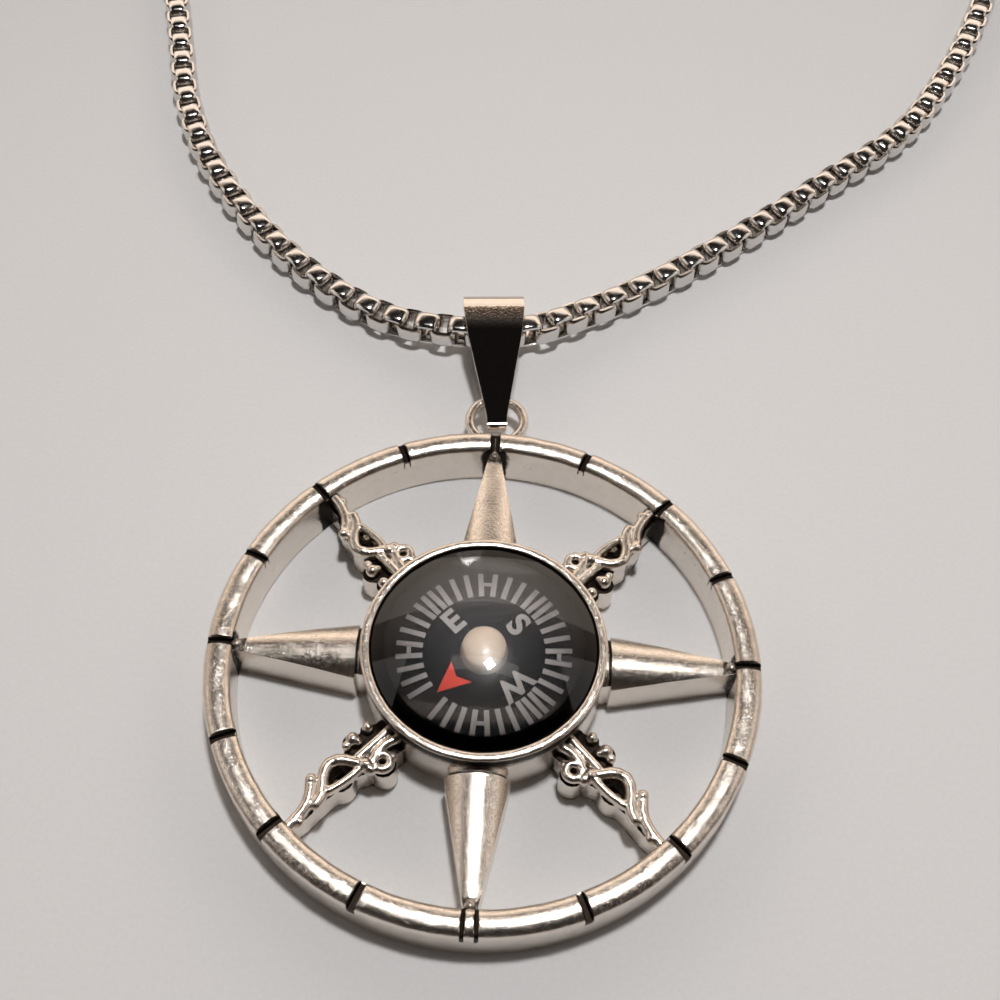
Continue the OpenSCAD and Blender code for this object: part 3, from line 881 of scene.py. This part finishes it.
def link_mesh():
    """One link round the Y axis of its own frame, its length along X, in millimetres."""
    half = LINK_W / 2
    outside = [(half - LINK_EDGE, -LINK_SIDE_DOWN), (half - LINK_SOFT, -LINK_SOFT_DOWN),
               (half * LINK_FLAT, 0.0)]
    inside = [(half - LINK_INNER, -LINK_T), (half - LINK_EDGE, LINK_EDGE - LINK_T)]
    section = outside + [(-y, z) for y, z in reversed(outside)]
    section += [(-y, z) for y, z in reversed(inside)] + inside
    bm = bmesh.new()
    run_x = LINK_L / 2 - LINK_CORNER
    run_z = LINK_H / 2 - LINK_CORNER
    last = chain_of(bm, [(-run_x, y, LINK_H / 2 + out) for y, out in section], closed=True)
    corners = ((run_x, run_z), (run_x, -run_z), (-run_x, -run_z), (-run_x, run_z))
    moves = ((2 * run_x, 0), (0, -2 * run_z), (-2 * run_x, 0), (0, 2 * run_z))
    for (cx, cz), (dx, dz) in zip(corners, moves):
        last = bmesh.ops.extrude_edge_only(bm, edges=edges_in(last))["geom"]
        bmesh.ops.translate(bm, vec=(dx, 0, dz), verts=verts_in(last))
        flat = [g for g in last if not isinstance(g, bmesh.types.BMFace)]
        spin = bmesh.ops.spin(bm, geom=flat, cent=(cx, 0, cz), axis=(0, 1, 0),
                              angle=math.pi / 2, steps=LINK_CORNER_STEPS)
        last = [g for g in spin["geom_last"] if not isinstance(g, bmesh.types.BMFace)]
    bmesh.ops.remove_doubles(bm, verts=bm.verts, dist=1e-3)
    bmesh.ops.recalc_face_normals(bm, faces=bm.faces)
    return new_mesh(bm, "link")


def route_frame(s):
    """Place and directions of the chain at a length along it."""
    behind, at, ahead = (Vector([np.interp(s + step, route_at, column) for column in route.T])
                         for step in (-ROUTE_REACH, 0, ROUTE_REACH))
    x = (ahead - behind).normalized()
    y = Vector((0, 0, 1)).cross(x).normalized()
    z = x.cross(y)
    return Matrix.Translation(at) @ Matrix((x, y, z)).transposed().to_4x4()


def make_chain():
    link = link_mesh()
    corners = np.hstack([points_of(link) * MM, np.ones((len(link.vertices), 1))])
    faces = np.array([face.vertices[:] for face in link.polygons])
    usable = route_at[-1] - LINK_L + 2 * LINK_PAST_END
    count = round(usable / LINK_PITCH)
    # The inside of each link is marked for painted shade
    out_x, _, out_z = abs(points_of(link)).T
    inside = (out_x < LINK_L / 2 - LINK_SHADED_IN) & (out_z < LINK_H / 2 - LINK_SHADED_IN)
    all_points, all_faces = [], []
    for i in range(count + 1):
        s = LINK_L / 2 - LINK_PAST_END + usable * i / count
        turn = 2 * LINK_WANDER * noise.noise(Vector((s * WANDER_RATE, 3.7, 0)))
        turn += LINK_JITTER * noise.noise(Vector((s * JITTER_RATE, 0.3, 0)))
        turn += math.pi / 2 * (i % 2)
        place = np.array(route_frame(s) @ Matrix.Rotation(turn, 4, "X"))
        all_points.append((corners @ place.T)[:, :3])
        all_faces.append(faces + i * len(corners))
    mesh = bpy.data.meshes.new("chain_links")
    mesh.from_pydata(np.vstack(all_points) * MM, [], np.vstack(all_faces))
    print("links:", count + 1)
    links = placed(mesh, "chain_links", stands_for="chain", sharp=42)
    # On the chain this layer holds only painted shade: the insides of the links are painted dark
    paint(links, "oxide_and_shade", np.tile(inside, count + 1))
    return links


chain = make_chain()

# %% [markdown]
# The clasp is hidden at the back of a neck and joins the chain's two ends. It is one
# plain piece: a round eye that narrows to a square tail. Two circles are bridged into a
# washer, the outer one is drawn out on one side, and all edges are bevelled.

# %% The clasp
clasp_low, clasp_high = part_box("clasp")
CLASP_EYE_R = 2.8
CLASP_RIM = 1.3
CLASP_TAIL_W = 3.0
CLASP_BEVEL = 0.45
CLASP_SEGMENTS = 48
# The eye's outer circle is drawn out from this share of its radius on, and spread a little
DRAW_FROM, DRAW, SPREAD = 0.35, 1.25, 1.1


def make_clasp():
    low, high = clasp_low / MM, clasp_high / MM
    centre = Vector((high.x - CLASP_EYE_R, (low.y + high.y) / 2, 0))
    at = Matrix.Translation(centre)
    bm = bmesh.new()
    outer, inner = (bmesh.ops.create_circle(bm, segments=CLASP_SEGMENTS, radius=radius,
                                            matrix=at)["verts"]
                    for radius in (CLASP_EYE_R, CLASP_EYE_R - CLASP_RIM))
    bmesh.ops.bridge_loops(bm, edges=list({e for v in outer + inner for e in v.link_edges}))
    reach = centre.x - low.x
    for v in outer:
        back = (centre.x - v.co.x) / CLASP_EYE_R
        if back > DRAW_FROM:
            side = (v.co.y - centre.y) * SPREAD
            v.co.x = centre.x - reach * min(1, back * DRAW)
            v.co.y = centre.y + max(-CLASP_TAIL_W / 2, min(CLASP_TAIL_W / 2, side))
    top = bmesh.ops.extrude_face_region(bm, geom=list(bm.faces))["geom"]
    bmesh.ops.translate(bm, vec=(0, 0, high.z), verts=verts_in(top))
    bmesh.ops.recalc_face_normals(bm, faces=bm.faces)
    flats = [f for f in bm.faces if abs(f.normal.z) > 0.9]
    rims = [e for e in bm.edges if sum(f in flats for f in e.link_faces) == 1]
    bmesh.ops.bevel(bm, geom=rims, offset=CLASP_BEVEL, offset_type="OFFSET", segments=4,
                    profile=0.5, affect="EDGES", material=-1)
    return finished(bm, "clasp_body", stands_for="clasp")


clasp = make_clasp()

# %% [markdown]
# The little compass: a glossy black cup and a black card stay as the CAD made them. The
# prints on the card are thin raised layers of paint: tick marks every ten degrees, a
# cross bar that joins the two middle ticks of each quarter, double bars at east, south
# and west, three letters, and a red arrow head that points north.

# %% The card's prints
_, card_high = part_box("compass_card")
CARD_Z = card_high.z / MM
CARD_TURN = math.radians(-135)
PRINT_T = 0.03
TICK_OUT = 6.7
TICK_IN = 4.55
TICK_W = 0.40
LETTER_R = 3.3
LETTER_SIZE = 2.475
LETTER_FAT = 0.09
CROSS_BAR = (0.34, 0.75)
DOUBLE_BAR_OUT = 0.32
ARROW_TIP, ARROW_BACK, ARROW_HALF, ARROW_NOTCH = 4.7, 2.2, 1.1, 0.55


def flat_bar(bm, r0, r1, width, degrees, shift=0.0):
    """A flat rectangle on the card, r0 to r1 from the middle, clockwise from north."""
    face = bmesh.ops.create_grid(bm, x_segments=1, y_segments=1, size=0.5)["verts"]
    place = Matrix.Rotation(CARD_TURN - math.radians(degrees), 4, "Z")
    shape = Matrix.Translation(((r0 + r1) / 2, shift, CARD_Z))
    size = Matrix.Diagonal((r1 - r0, width, 1, 1))
    bmesh.ops.transform(bm, matrix=place @ shape @ size, verts=face)


def raised(bm):
    """Gives flat faces the thickness of a print."""
    top = bmesh.ops.extrude_face_region(bm, geom=list(bm.faces))["geom"]
    bmesh.ops.translate(bm, vec=(0, 0, PRINT_T), verts=verts_in(top))


def make_ticks():
    bm = bmesh.new()
    for quarter in range(4):
        for step in range(1, 9):
            flat_bar(bm, TICK_IN, TICK_OUT, TICK_W, 90 * quarter + 10 * step)
        middle = (TICK_IN + TICK_OUT) / 2
        half = CROSS_BAR[0] / 2
        flat_bar(bm, middle - half, middle + half, CROSS_BAR[1], 90 * quarter + 45)
        if quarter:
            for side in (DOUBLE_BAR_OUT, -DOUBLE_BAR_OUT):
                flat_bar(bm, TICK_IN, TICK_OUT, TICK_W, 90 * quarter, shift=side)
    raised(bm)
    return finished(bm, "card_ticks", body="card")


def make_letters():
    made = bmesh.new()
    for letter, degrees in (("E", 90), ("S", 180), ("W", 270)):
        curve = bpy.data.curves.new(letter, "FONT")
        curve.body = letter
        curve.size = LETTER_SIZE
        curve.offset = LETTER_FAT
        curve.align_x = "CENTER"
        curve.align_y = "CENTER"
        curve.extrude = PRINT_T / 2
        text = bpy.data.objects.new(letter, curve)
        scene.collection.objects.link(text)
        deps = bpy.context.evaluated_depsgraph_get()
        mesh = bpy.data.meshes.new_from_object(text.evaluated_get(deps))
        upright = Matrix.Rotation(CARD_TURN - math.radians(degrees), 4, "Z")
        place = upright @ Matrix.Translation((LETTER_R, 0, CARD_Z + PRINT_T / 2))
        mesh.transform(place @ Matrix.Rotation(-math.pi / 2, 4, "Z"))
        made.from_mesh(mesh)
        bpy.data.objects.remove(text)
    bmesh.ops.remove_doubles(made, verts=made.verts, dist=WELD)
    return finished(made, "card_letters", body="card")


def make_arrow():
    bm = bmesh.new()
    corners = ((ARROW_TIP, 0), (ARROW_BACK, ARROW_HALF), (ARROW_BACK + ARROW_NOTCH, 0),
               (ARROW_BACK, -ARROW_HALF))
    outline = [(x, y, CARD_Z) for x, y in corners]
    bmesh.ops.contextual_create(bm, geom=chain_of(bm, outline, closed=True))
    turned(bm, CARD_TURN)
    raised(bm)
    return finished(bm, "card_arrow", body="card")


ticks = make_ticks()
letters = make_letters()
arrow = make_arrow()

# %% [markdown]
# A pearly cap covers the pin in the middle of the card, and a clear dome closes the
# compass. Both are spun. Such a small compass is filled with clear liquid, which makes the
# card look larger and nearer. So the dome's clear body reaches down to just over the cap.

# %% The cap and the dome
cap_low, cap_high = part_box("card_cap")
lens_low, lens_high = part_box("dome_lens")
CAP_R = cap_high.x / MM
CAP_RISE = 0.95
CAP_TOP_H = 0.75
CAP_CLEAR = 0.02
CAP_BAND_H = 0.25
CAP_STEPS = 96
# The cap's side, and its wider foot, as shares of the CAD radius and of the side
CAP_SIDE, CAP_FOOT = 0.94, 1.04
LENS_EDGE = 0.5
LENS_RINGS = 48
LENS_STEPS = 160
LIQUID_R = 8.25
LIQUID_CLEAR = 0.05
LENS_R = lens_high.x / MM
# Radii where the black edge sets in and where the rubbed veil ends, each with its width
LENS_CLEAR_R, LENS_CLEAR_W = 7.9, 0.1
LENS_VEIL_R, LENS_VEIL_W = 5.0, 2


def make_cap():
    low, top = cap_low.z / MM, cap_high.z / MM + CAP_RISE
    side = CAP_R * CAP_SIDE
    foot, shoulder = side * CAP_FOOT, top - CAP_TOP_H
    section = [(0, low + CAP_CLEAR), (foot, low + CAP_CLEAR), (foot, low + CAP_BAND_H),
               (side, shoulder)]
    section += arc((0, shoulder), (side, CAP_TOP_H), 12, 90)
    bm = bmesh.new()
    spun(bm, section, CAP_STEPS, closed=False)
    return finished(bm, "pearl_cap", body="card", stands_for="card_cap")


def make_dome():
    low, high = lens_low.z / MM, lens_high.z / MM
    rise = high - low - LENS_EDGE
    bend = rise / (math.sqrt(2) - 1)
    radii = [LENS_R * i / LENS_RINGS for i in range(LENS_RINGS + 1)]
    section = [(r, high - bend * (math.hypot(1, r / LENS_R) - 1)) for r in radii]
    under = cap_high.z / MM + CAP_RISE + LIQUID_CLEAR
    section += [(LENS_R, low), (LIQUID_R, low), (LIQUID_R, under), (0, under)]
    bm = bmesh.new()
    spun(bm, section, LENS_STEPS, closed=False)
    dome = finished(bm, "clear_dome", stands_for="dome_lens")
    radius = radii_of(points_of(dome.data))
    paint(dome, "edge", np.clip((radius - LENS_CLEAR_R) / LENS_CLEAR_W, 0, 1))
    paint(dome, "veil", np.clip((LENS_VEIL_R - radius) / LENS_VEIL_W, 0, 1))
    return dome


cap = make_cap()
dome = make_dome()

# %% [markdown]
# Metal that is handled gets a fine grain and hair scratches, and an antique finish keeps
# black oxide in its hollows while its high places are rubbed bright. Both effects are
# shader node groups with named inputs, so that each metal uses them with its own values.
# The oxide group also darkens the places painted as shade.

# %% Shader groups
def new_group(name, inputs, outputs):
    """An empty node group. Inputs are (name, socket type, value), outputs (name, type)."""
    tree = bpy.data.node_groups.new(name, "ShaderNodeTree")
    for label, kind, value in inputs:
        socket = tree.interface.new_socket(label, in_out="INPUT", socket_type=kind)
        if value is not None:
            socket.default_value = value
    for label, kind in outputs:
        tree.interface.new_socket(label, in_out="OUTPUT", socket_type=kind)
    return tree, tree.nodes.new("NodeGroupInput"), tree.nodes.new("NodeGroupOutput")


def feed(tree, made, sources):
    """Links or sets a node's inputs."""
    for socket, source in sources.items():
        if isinstance(source, bpy.types.NodeSocket):
            tree.links.new(source, made.inputs[socket])
        else:
            made.inputs[socket].default_value = source


def node(tree, kind, sources=None, **values):
    """Adds a node, sets its properties, and feeds its inputs."""
    made = tree.nodes.new(kind)
    for key, value in values.items():
        setattr(made, key, value)
    feed(tree, made, sources or {})
    return made


def math_node(tree, operation, *terms, clamp=False):
    sources = dict(enumerate(terms))
    return node(tree, "ShaderNodeMath", sources, operation=operation, use_clamp=clamp).outputs[0]


def scaled(tree, value, times, plus, clamp=False):
    return math_node(tree, "MULTIPLY_ADD", value, times, plus, clamp=clamp)


def ramp(tree, value, low, high):
    """Brings low..high of a value to 0..1, softly."""
    made = node(tree, "ShaderNodeMapRange", {"Value": value, "From Min": low, "From Max": high})
    made.interpolation_type = "SMOOTHSTEP"
    return made.outputs["Result"]


def mix_colour(tree, mask, first, second):
    return node(tree, "ShaderNodeMix", {0: mask, 6: first, 7: second}, data_type="RGBA").outputs[2]


def noise_of(tree, place, scale, detail, roughness=0.5):
    """Fine noise about 0.5, so many waves in a metre."""
    return node(tree, "ShaderNodeTexNoise", {"Vector": place, "Scale": scale, "Detail": detail,
                                             "Roughness": roughness}).outputs["Fac"]


FLOAT, VECTOR = "NodeSocketFloat", "NodeSocketVector"


def wear_group():
    """Grain and hair scratches: a height in metres and a mask for the roughness."""
    tree, inside, out = new_group(
        "metal wear", [("Place", VECTOR, None), ("Grain per metre", FLOAT, 6000.0),
                       ("Grain depth", FLOAT, 4e-6), ("Scratch depth", FLOAT, 3e-6),
                       ("Scratch stretch", VECTOR, (1.0, 12.0, 1.0))],
        [("Height", FLOAT), ("Mottle", FLOAT), ("Scratch", FLOAT)])
    place = inside.outputs["Place"]
    grain = noise_of(tree, place, inside.outputs["Grain per metre"], 5.0, 0.62)
    mottle = noise_of(tree, place, 900.0, 6.0, 0.7)
    drawn = node(tree, "ShaderNodeVectorMath", {0: place, 1: inside.outputs["Scratch stretch"]},
                 operation="MULTIPLY").outputs[0]
    scratch = ramp(tree, noise_of(tree, drawn, 1500.0, 7.0, 0.75), 0.52, 0.62)
    height = math_node(tree, "MULTIPLY", grain, inside.outputs["Grain depth"])
    cut = math_node(tree, "MULTIPLY", scratch, inside.outputs["Scratch depth"])
    feed(tree, out, {"Height": math_node(tree, "SUBTRACT", height, cut), "Mottle": mottle,
                     "Scratch": scratch})
    return tree


def oxide_and_shade_group():
    """Black patina in hollows and painted shade, broken up by grain: a mask from 0, bright, to 1,
    black.
    """
    tree, inside, out = new_group(
        "oxide in hollows", [("Place", VECTOR, None), ("Patina and shade amount", FLOAT, 0.0), ("Worn", FLOAT, 0.0),
                             ("Breakup", FLOAT, 0.5), ("Level", FLOAT, 0.5)],
        [("Patina and shade mask", FLOAT)])
    specks = noise_of(tree, inside.outputs["Place"], 3500.0, 6.0, 0.75)
    centred = math_node(tree, "SUBTRACT", specks, 0.5)
    broken = math_node(tree, "MULTIPLY", centred, inside.outputs["Breakup"])
    broken = math_node(tree, "MULTIPLY", broken, 2.0)
    kept = math_node(tree, "SUBTRACT", inside.outputs["Patina and shade amount"], inside.outputs["Worn"])
    total = math_node(tree, "ADD", kept, broken)
    low = math_node(tree, "SUBTRACT", inside.outputs["Level"], 0.25)
    high = math_node(tree, "ADD", inside.outputs["Level"], 0.25)
    feed(tree, out, {"Patina and shade mask": ramp(tree, total, low, high)})
    return tree


METAL_WEAR = wear_group()
OXIDE_AND_SHADE = oxide_and_shade_group()
print("shader groups:", METAL_WEAR.name, "and", OXIDE_AND_SHADE.name)

# %% [markdown]
# Materials. The casting is a warm silver plate over zinc, rubbed bright on its high
# places. The bail and the chain are polished steel. Metals show what they reflect, so
# most of their look comes from the lights, and the materials add grain and oxide. They
# also add painted shade at the feet of the casting, on the ornaments' low plates and
# inside the chain's links, and a painted brown glint on the bail's brushed band.

# %% Materials
def new_material(name):
    material = bpy.data.materials.new(name)
    material.use_nodes = True
    tree = material.node_tree
    return material, tree, tree.nodes["Principled BSDF"]


def place_of(tree):
    return node(tree, "ShaderNodeTexCoord").outputs["Object"]


def attribute(tree, name):
    return node(tree, "ShaderNodeAttribute", attribute_name=name).outputs["Fac"]


def use_group(tree, group, sources):
    return node(tree, "ShaderNodeGroup", sources, node_tree=group).outputs


def bump(tree, height):
    """The normal of a skin with this height, in metres."""
    sources = {"Height": height, "Strength": 1.0, "Distance": 1.0}
    return node(tree, "ShaderNodeBump", sources).outputs["Normal"]


SILVER_DULL, SILVER_BRIGHT = (0.70, 0.62, 0.54, 1), (0.90, 0.84, 0.77, 1)
# Black of the oxide, and of the painted shade at the casting's feet and on the ornaments' low
# plates
SILVER_OXIDE_AND_SHADE = (0.020, 0.015, 0.012, 1)
# Painted shade for steel, used on the insides of the chain's links
STEEL_PAINTED_SHADE = (0.05, 0.042, 0.038, 1)
# Brown of the painted glint on the bail's brushed band, where the lamp's reflection glitters brown
STEEL_PAINTED_GLINT = (0.30, 0.19, 0.12, 1)
ACRYLIC, ACRYLIC_EDGE = (0.97, 0.98, 1.0, 1), (0.004, 0.004, 0.004, 1)
BRUSH_DEPTH = 34e-6


def cast_silver():
    material, tree, shader = new_material("antique silver casting")
    place = place_of(tree)
    wear = use_group(tree, METAL_WEAR, {"Place": place, "Grain per metre": 6000.0,
                                        "Grain depth": 17e-6, "Scratch depth": 4e-6,
                                        "Scratch stretch": (3.0, 3.0, 1.0)})
    oxide_and_shade = use_group(tree, OXIDE_AND_SHADE, {"Place": place, "Patina and shade amount": attribute(tree, "oxide_and_shade"),
                                    "Worn": attribute(tree, "worn"), "Breakup": 0.6,
                                    "Level": 0.45})["Patina and shade mask"]
    bright = mix_colour(tree, wear["Mottle"], SILVER_DULL, SILVER_BRIGHT)
    rough = scaled(tree, wear["Mottle"], 0.20, 0.14)
    feed(tree, shader, {"Base Color": mix_colour(tree, oxide_and_shade, bright, SILVER_OXIDE_AND_SHADE),
                        "Roughness": scaled(tree, oxide_and_shade, 0.25, rough, clamp=True),
                        "Metallic": 1.0, "Normal": bump(tree, wear["Height"])})
    return material


def steel(name, colour, rough, grain, scratch, stretch, brushed=0.0):
    """Steel. Where the piece is painted as brushed, it gets this much rougher, and brown specks of
    painted glint for the lamp's reflection there.
    """
    material, tree, shader = new_material(name)
    place = place_of(tree)
    wear = use_group(tree, METAL_WEAR, {"Place": place, "Grain per metre": 5000.0,
                                        "Grain depth": grain, "Scratch depth": scratch,
                                        "Scratch stretch": stretch})
    dark = tuple(c * 0.82 for c in colour) + (1,)
    tint = mix_colour(tree, wear["Mottle"], dark, colour + (1,))
    # Where a piece is marked with shade, as the insides of the chain's links are, its colour is
    # painted dark
    tint = mix_colour(tree, attribute(tree, "oxide_and_shade"), tint, STEEL_PAINTED_SHADE)
    level = scaled(tree, wear["Mottle"], rough, rough * 0.5)
    height = wear["Height"]
    if brushed:
        band = attribute(tree, "brushed")
        level = scaled(tree, band, brushed, level, clamp=True)
        glitter = noise_of(tree, place, 5000.0, 5.0)
        glint = math_node(tree, "MULTIPLY", band, glitter)
        height = scaled(tree, glint, BRUSH_DEPTH, height)
        # Painted reflection: brown specks between the glitter, for the brown glint of the lamp on
        # the band
        painted_glint = math_node(tree, "MULTIPLY", band, ramp(tree, glitter, 0.62, 0.40))
        tint = mix_colour(tree, painted_glint, tint, STEEL_PAINTED_GLINT)
    else:
        level = scaled(tree, wear["Scratch"], 0.05, level, clamp=True)
    feed(tree, shader, {"Base Color": tint, "Roughness": level, "Metallic": 1.0,
                        "Normal": bump(tree, height)})
    return material


def plastic(name, colour, rough, grain, gloss=0.5):
    """Moulded or printed plastic, with a fine uneven skin."""
    material, tree, shader = new_material(name)
    wear = use_group(tree, METAL_WEAR, {"Place": place_of(tree), "Grain per metre": 9000.0,
                                        "Grain depth": grain, "Scratch depth": 0.0})
    pale = tuple(min(1.0, c * 1.25 + 0.004) for c in colour) + (1,)
    tint = mix_colour(tree, wear["Mottle"], colour + (1,), pale)
    level = scaled(tree, wear["Mottle"], 0.2, rough - 0.1, clamp=True)
    feed(tree, shader, {"Base Color": tint, "Roughness": level, "Specular IOR Level": gloss,
                        "Normal": bump(tree, wear["Height"])})
    return material


def clear_plastic():
    """Clear acrylic with a blacked edge, its front rubbed by wear into a fine veil.

    Its shadow is let through, as a thin dome casts almost none."""
    material, tree, shader = new_material("clear acrylic")
    place = place_of(tree)
    rubbed = ramp(tree, noise_of(tree, place, 16000.0, 2.0), 0.42, 0.56)
    haze = ramp(tree, noise_of(tree, place, 500.0, 5.0), 0.45, 0.7)
    feed(tree, shader, {
        "Base Color": mix_colour(tree, attribute(tree, "edge"), ACRYLIC, ACRYLIC_EDGE),
        "Roughness": scaled(tree, haze, 0.05, 0.01), "IOR": 1.46, "Transmission Weight": 1.0,
        "Specular IOR Level": 0.03, "Coat Weight": attribute(tree, "veil"), "Coat IOR": 1.38,
        "Coat Roughness": scaled(tree, rubbed, 0.27, 0.06)})
    through = node(tree, "ShaderNodeBsdfTransparent")
    rays_seen = node(tree, "ShaderNodeLightPath")
    blend = node(tree, "ShaderNodeMixShader", {0: rays_seen.outputs["Is Shadow Ray"],
                                               1: shader.outputs[0], 2: through.outputs[0]})
    feed(tree, tree.nodes["Material Output"], {"Surface": blend.outputs[0]})
    return material


def dress(material, *pieces):
    """Puts one material on every slot of the pieces."""
    for piece in pieces:
        if not piece.data.materials:
            piece.data.materials.append(material)
        for slot in piece.material_slots:
            slot.material = material


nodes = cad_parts
dress(cast_silver(), ring, cup, eye, *rays, *scrolls)
dress(steel("polished steel strip", (0.78, 0.72, 0.66), 0.016, 0.15e-6, 0.2e-6,
            (14.0, 1.0, 14.0), 0.20), bail)
dress(steel("polished steel clasp", (0.74, 0.69, 0.64), 0.16, 3e-6, 4e-6, (1.0, 8.0, 1.0)), clasp)
dress(steel("chain steel", (0.78, 0.75, 0.72), 0.14, 3e-6, 2e-6, (1.0, 1.0, 1.0)), chain)
dress(steel("turned brass", (0.72, 0.55, 0.30), 0.2, 2e-6, 2e-6, (1.0, 1.0, 9.0)),
      nodes["pivot_pin"])
dress(plastic("glossy black plastic", (0.012, 0.012, 0.013), 0.16, 1e-6), nodes["capsule_body"])
dress(plastic("satin black card", (0.004, 0.004, 0.005), 0.35, 1e-6, 0.05),
      nodes["compass_card"])
dress(plastic("pearl cap", (0.40, 0.32, 0.25), 0.30, 2e-6), cap)
dress(plastic("white print", (0.28, 0.26, 0.25), 0.5, 2e-6, 0.2), ticks, letters)
dress(plastic("red print", (0.46, 0.030, 0.014), 0.45, 2e-6, 0.2), arrow)
dress(clear_plastic(), dome)

# %% [markdown]
# The pendant lies on a plain pale surface in a studio. A short lamp hangs close above it,
# a little to the north: a small bright bulb, with a dim strip beside it that lies east and
# west. It draws the bright lines on the ring and the rays, and the small light on the dome.
# A broad softbox lies low behind and fills the far sides of the metal. What is left of the
# room is dim, so that flats which face neither light turn dark.

# %% The floor and the lights
FLOOR_HALF = 3.0
FLOOR_DROP = 0.02 * MM
PAPER_DARK, PAPER_PALE = (0.70, 0.71, 0.73, 1), (0.78, 0.79, 0.81, 1)
PAPER_GRAIN = 12e-6
WALL_NORTH = (0.62, 0.50, 0.41, 1)
WALL_SOUTH = (0.035, 0.028, 0.024, 1)
CEILING = (0.008, 0.007, 0.007, 1)
LIGHTS_AIM = Vector((0, 0.01, 0))
#          name, direction, distance and size in metres, power in watts, colour
LIGHTS = [
    ("bulb", (0.019, 0.017, 0.298), 0.298, (0.026, 0.026), 0.50, (1.0, 0.97, 0.94)),
    ("strip", (0.0015, 0.017, 0.30), 0.301, (0.22, 0.042), 0.03, (1.0, 0.96, 0.91)),
    ("north softbox", (0.0, 1.0, 0.50), 0.70, (1.6, 0.34), 1.4, (1.0, 0.88, 0.76)),
    ("left fill", (-1.0, 0.0, 0.75), 0.70, (0.4, 0.3), 0.25, (1.0, 0.95, 0.90)),
    ("right fill", (1.0, 0.1, 0.75), 0.70, (0.4, 0.3), 0.25, (1.0, 0.95, 0.90))]


def add_floor():
    bm = bmesh.new()
    bmesh.ops.create_grid(bm, x_segments=2, y_segments=2, size=FLOOR_HALF)
    floor = bpy.data.objects.new("floor", new_mesh(bm, "floor"))
    floor.location.z = -FLOOR_DROP
    scene.collection.objects.link(floor)
    material, tree, shader = new_material("pale paper")
    fibre = noise_of(tree, place_of(tree), 2500.0, 4.0)
    height = math_node(tree, "MULTIPLY", fibre, PAPER_GRAIN)
    feed(tree, shader, {"Base Color": mix_colour(tree, fibre, PAPER_DARK, PAPER_PALE),
                        "Roughness": 0.85, "Normal": bump(tree, height)})
    dress(material, floor)


def add_light(name, direction, distance, size, power, colour):
    """An area light in a direction from the pendant, turned towards it. Size is (x, y)."""
    data = bpy.data.lights.new(name, "AREA")
    data.shape = "RECTANGLE"
    data.size, data.size_y = size
    data.energy = power
    data.color = colour
    light = bpy.data.objects.new(name, data)
    light.location = LIGHTS_AIM + Vector(direction).normalized() * distance
    light.rotation_euler = (LIGHTS_AIM - light.location).to_track_quat("-Z", "Y").to_euler()
    scene.collection.objects.link(light)


def add_world():
    """A dim room: warm low walls, brighter in the north, under a dark ceiling."""
    world = bpy.data.worlds.new("dim studio")
    world.use_nodes = True
    tree = world.node_tree
    direction = node(tree, "ShaderNodeTexCoord").outputs["Generated"]
    parts = node(tree, "ShaderNodeSeparateXYZ", {"Vector": direction}).outputs
    high = ramp(tree, parts["Z"], 0.50, 0.80)
    low_wall = mix_colour(tree, ramp(tree, parts["Y"], -0.7, 0.8), WALL_SOUTH, WALL_NORTH)
    room = mix_colour(tree, high, low_wall, CEILING)
    feed(tree, tree.nodes["Background"], {"Color": room})
    scene.world = world


add_floor()
add_world()
for row in LIGHTS:
    add_light(*row)
scene.view_settings.view_transform = "Standard"
print("lights and floor are in place")
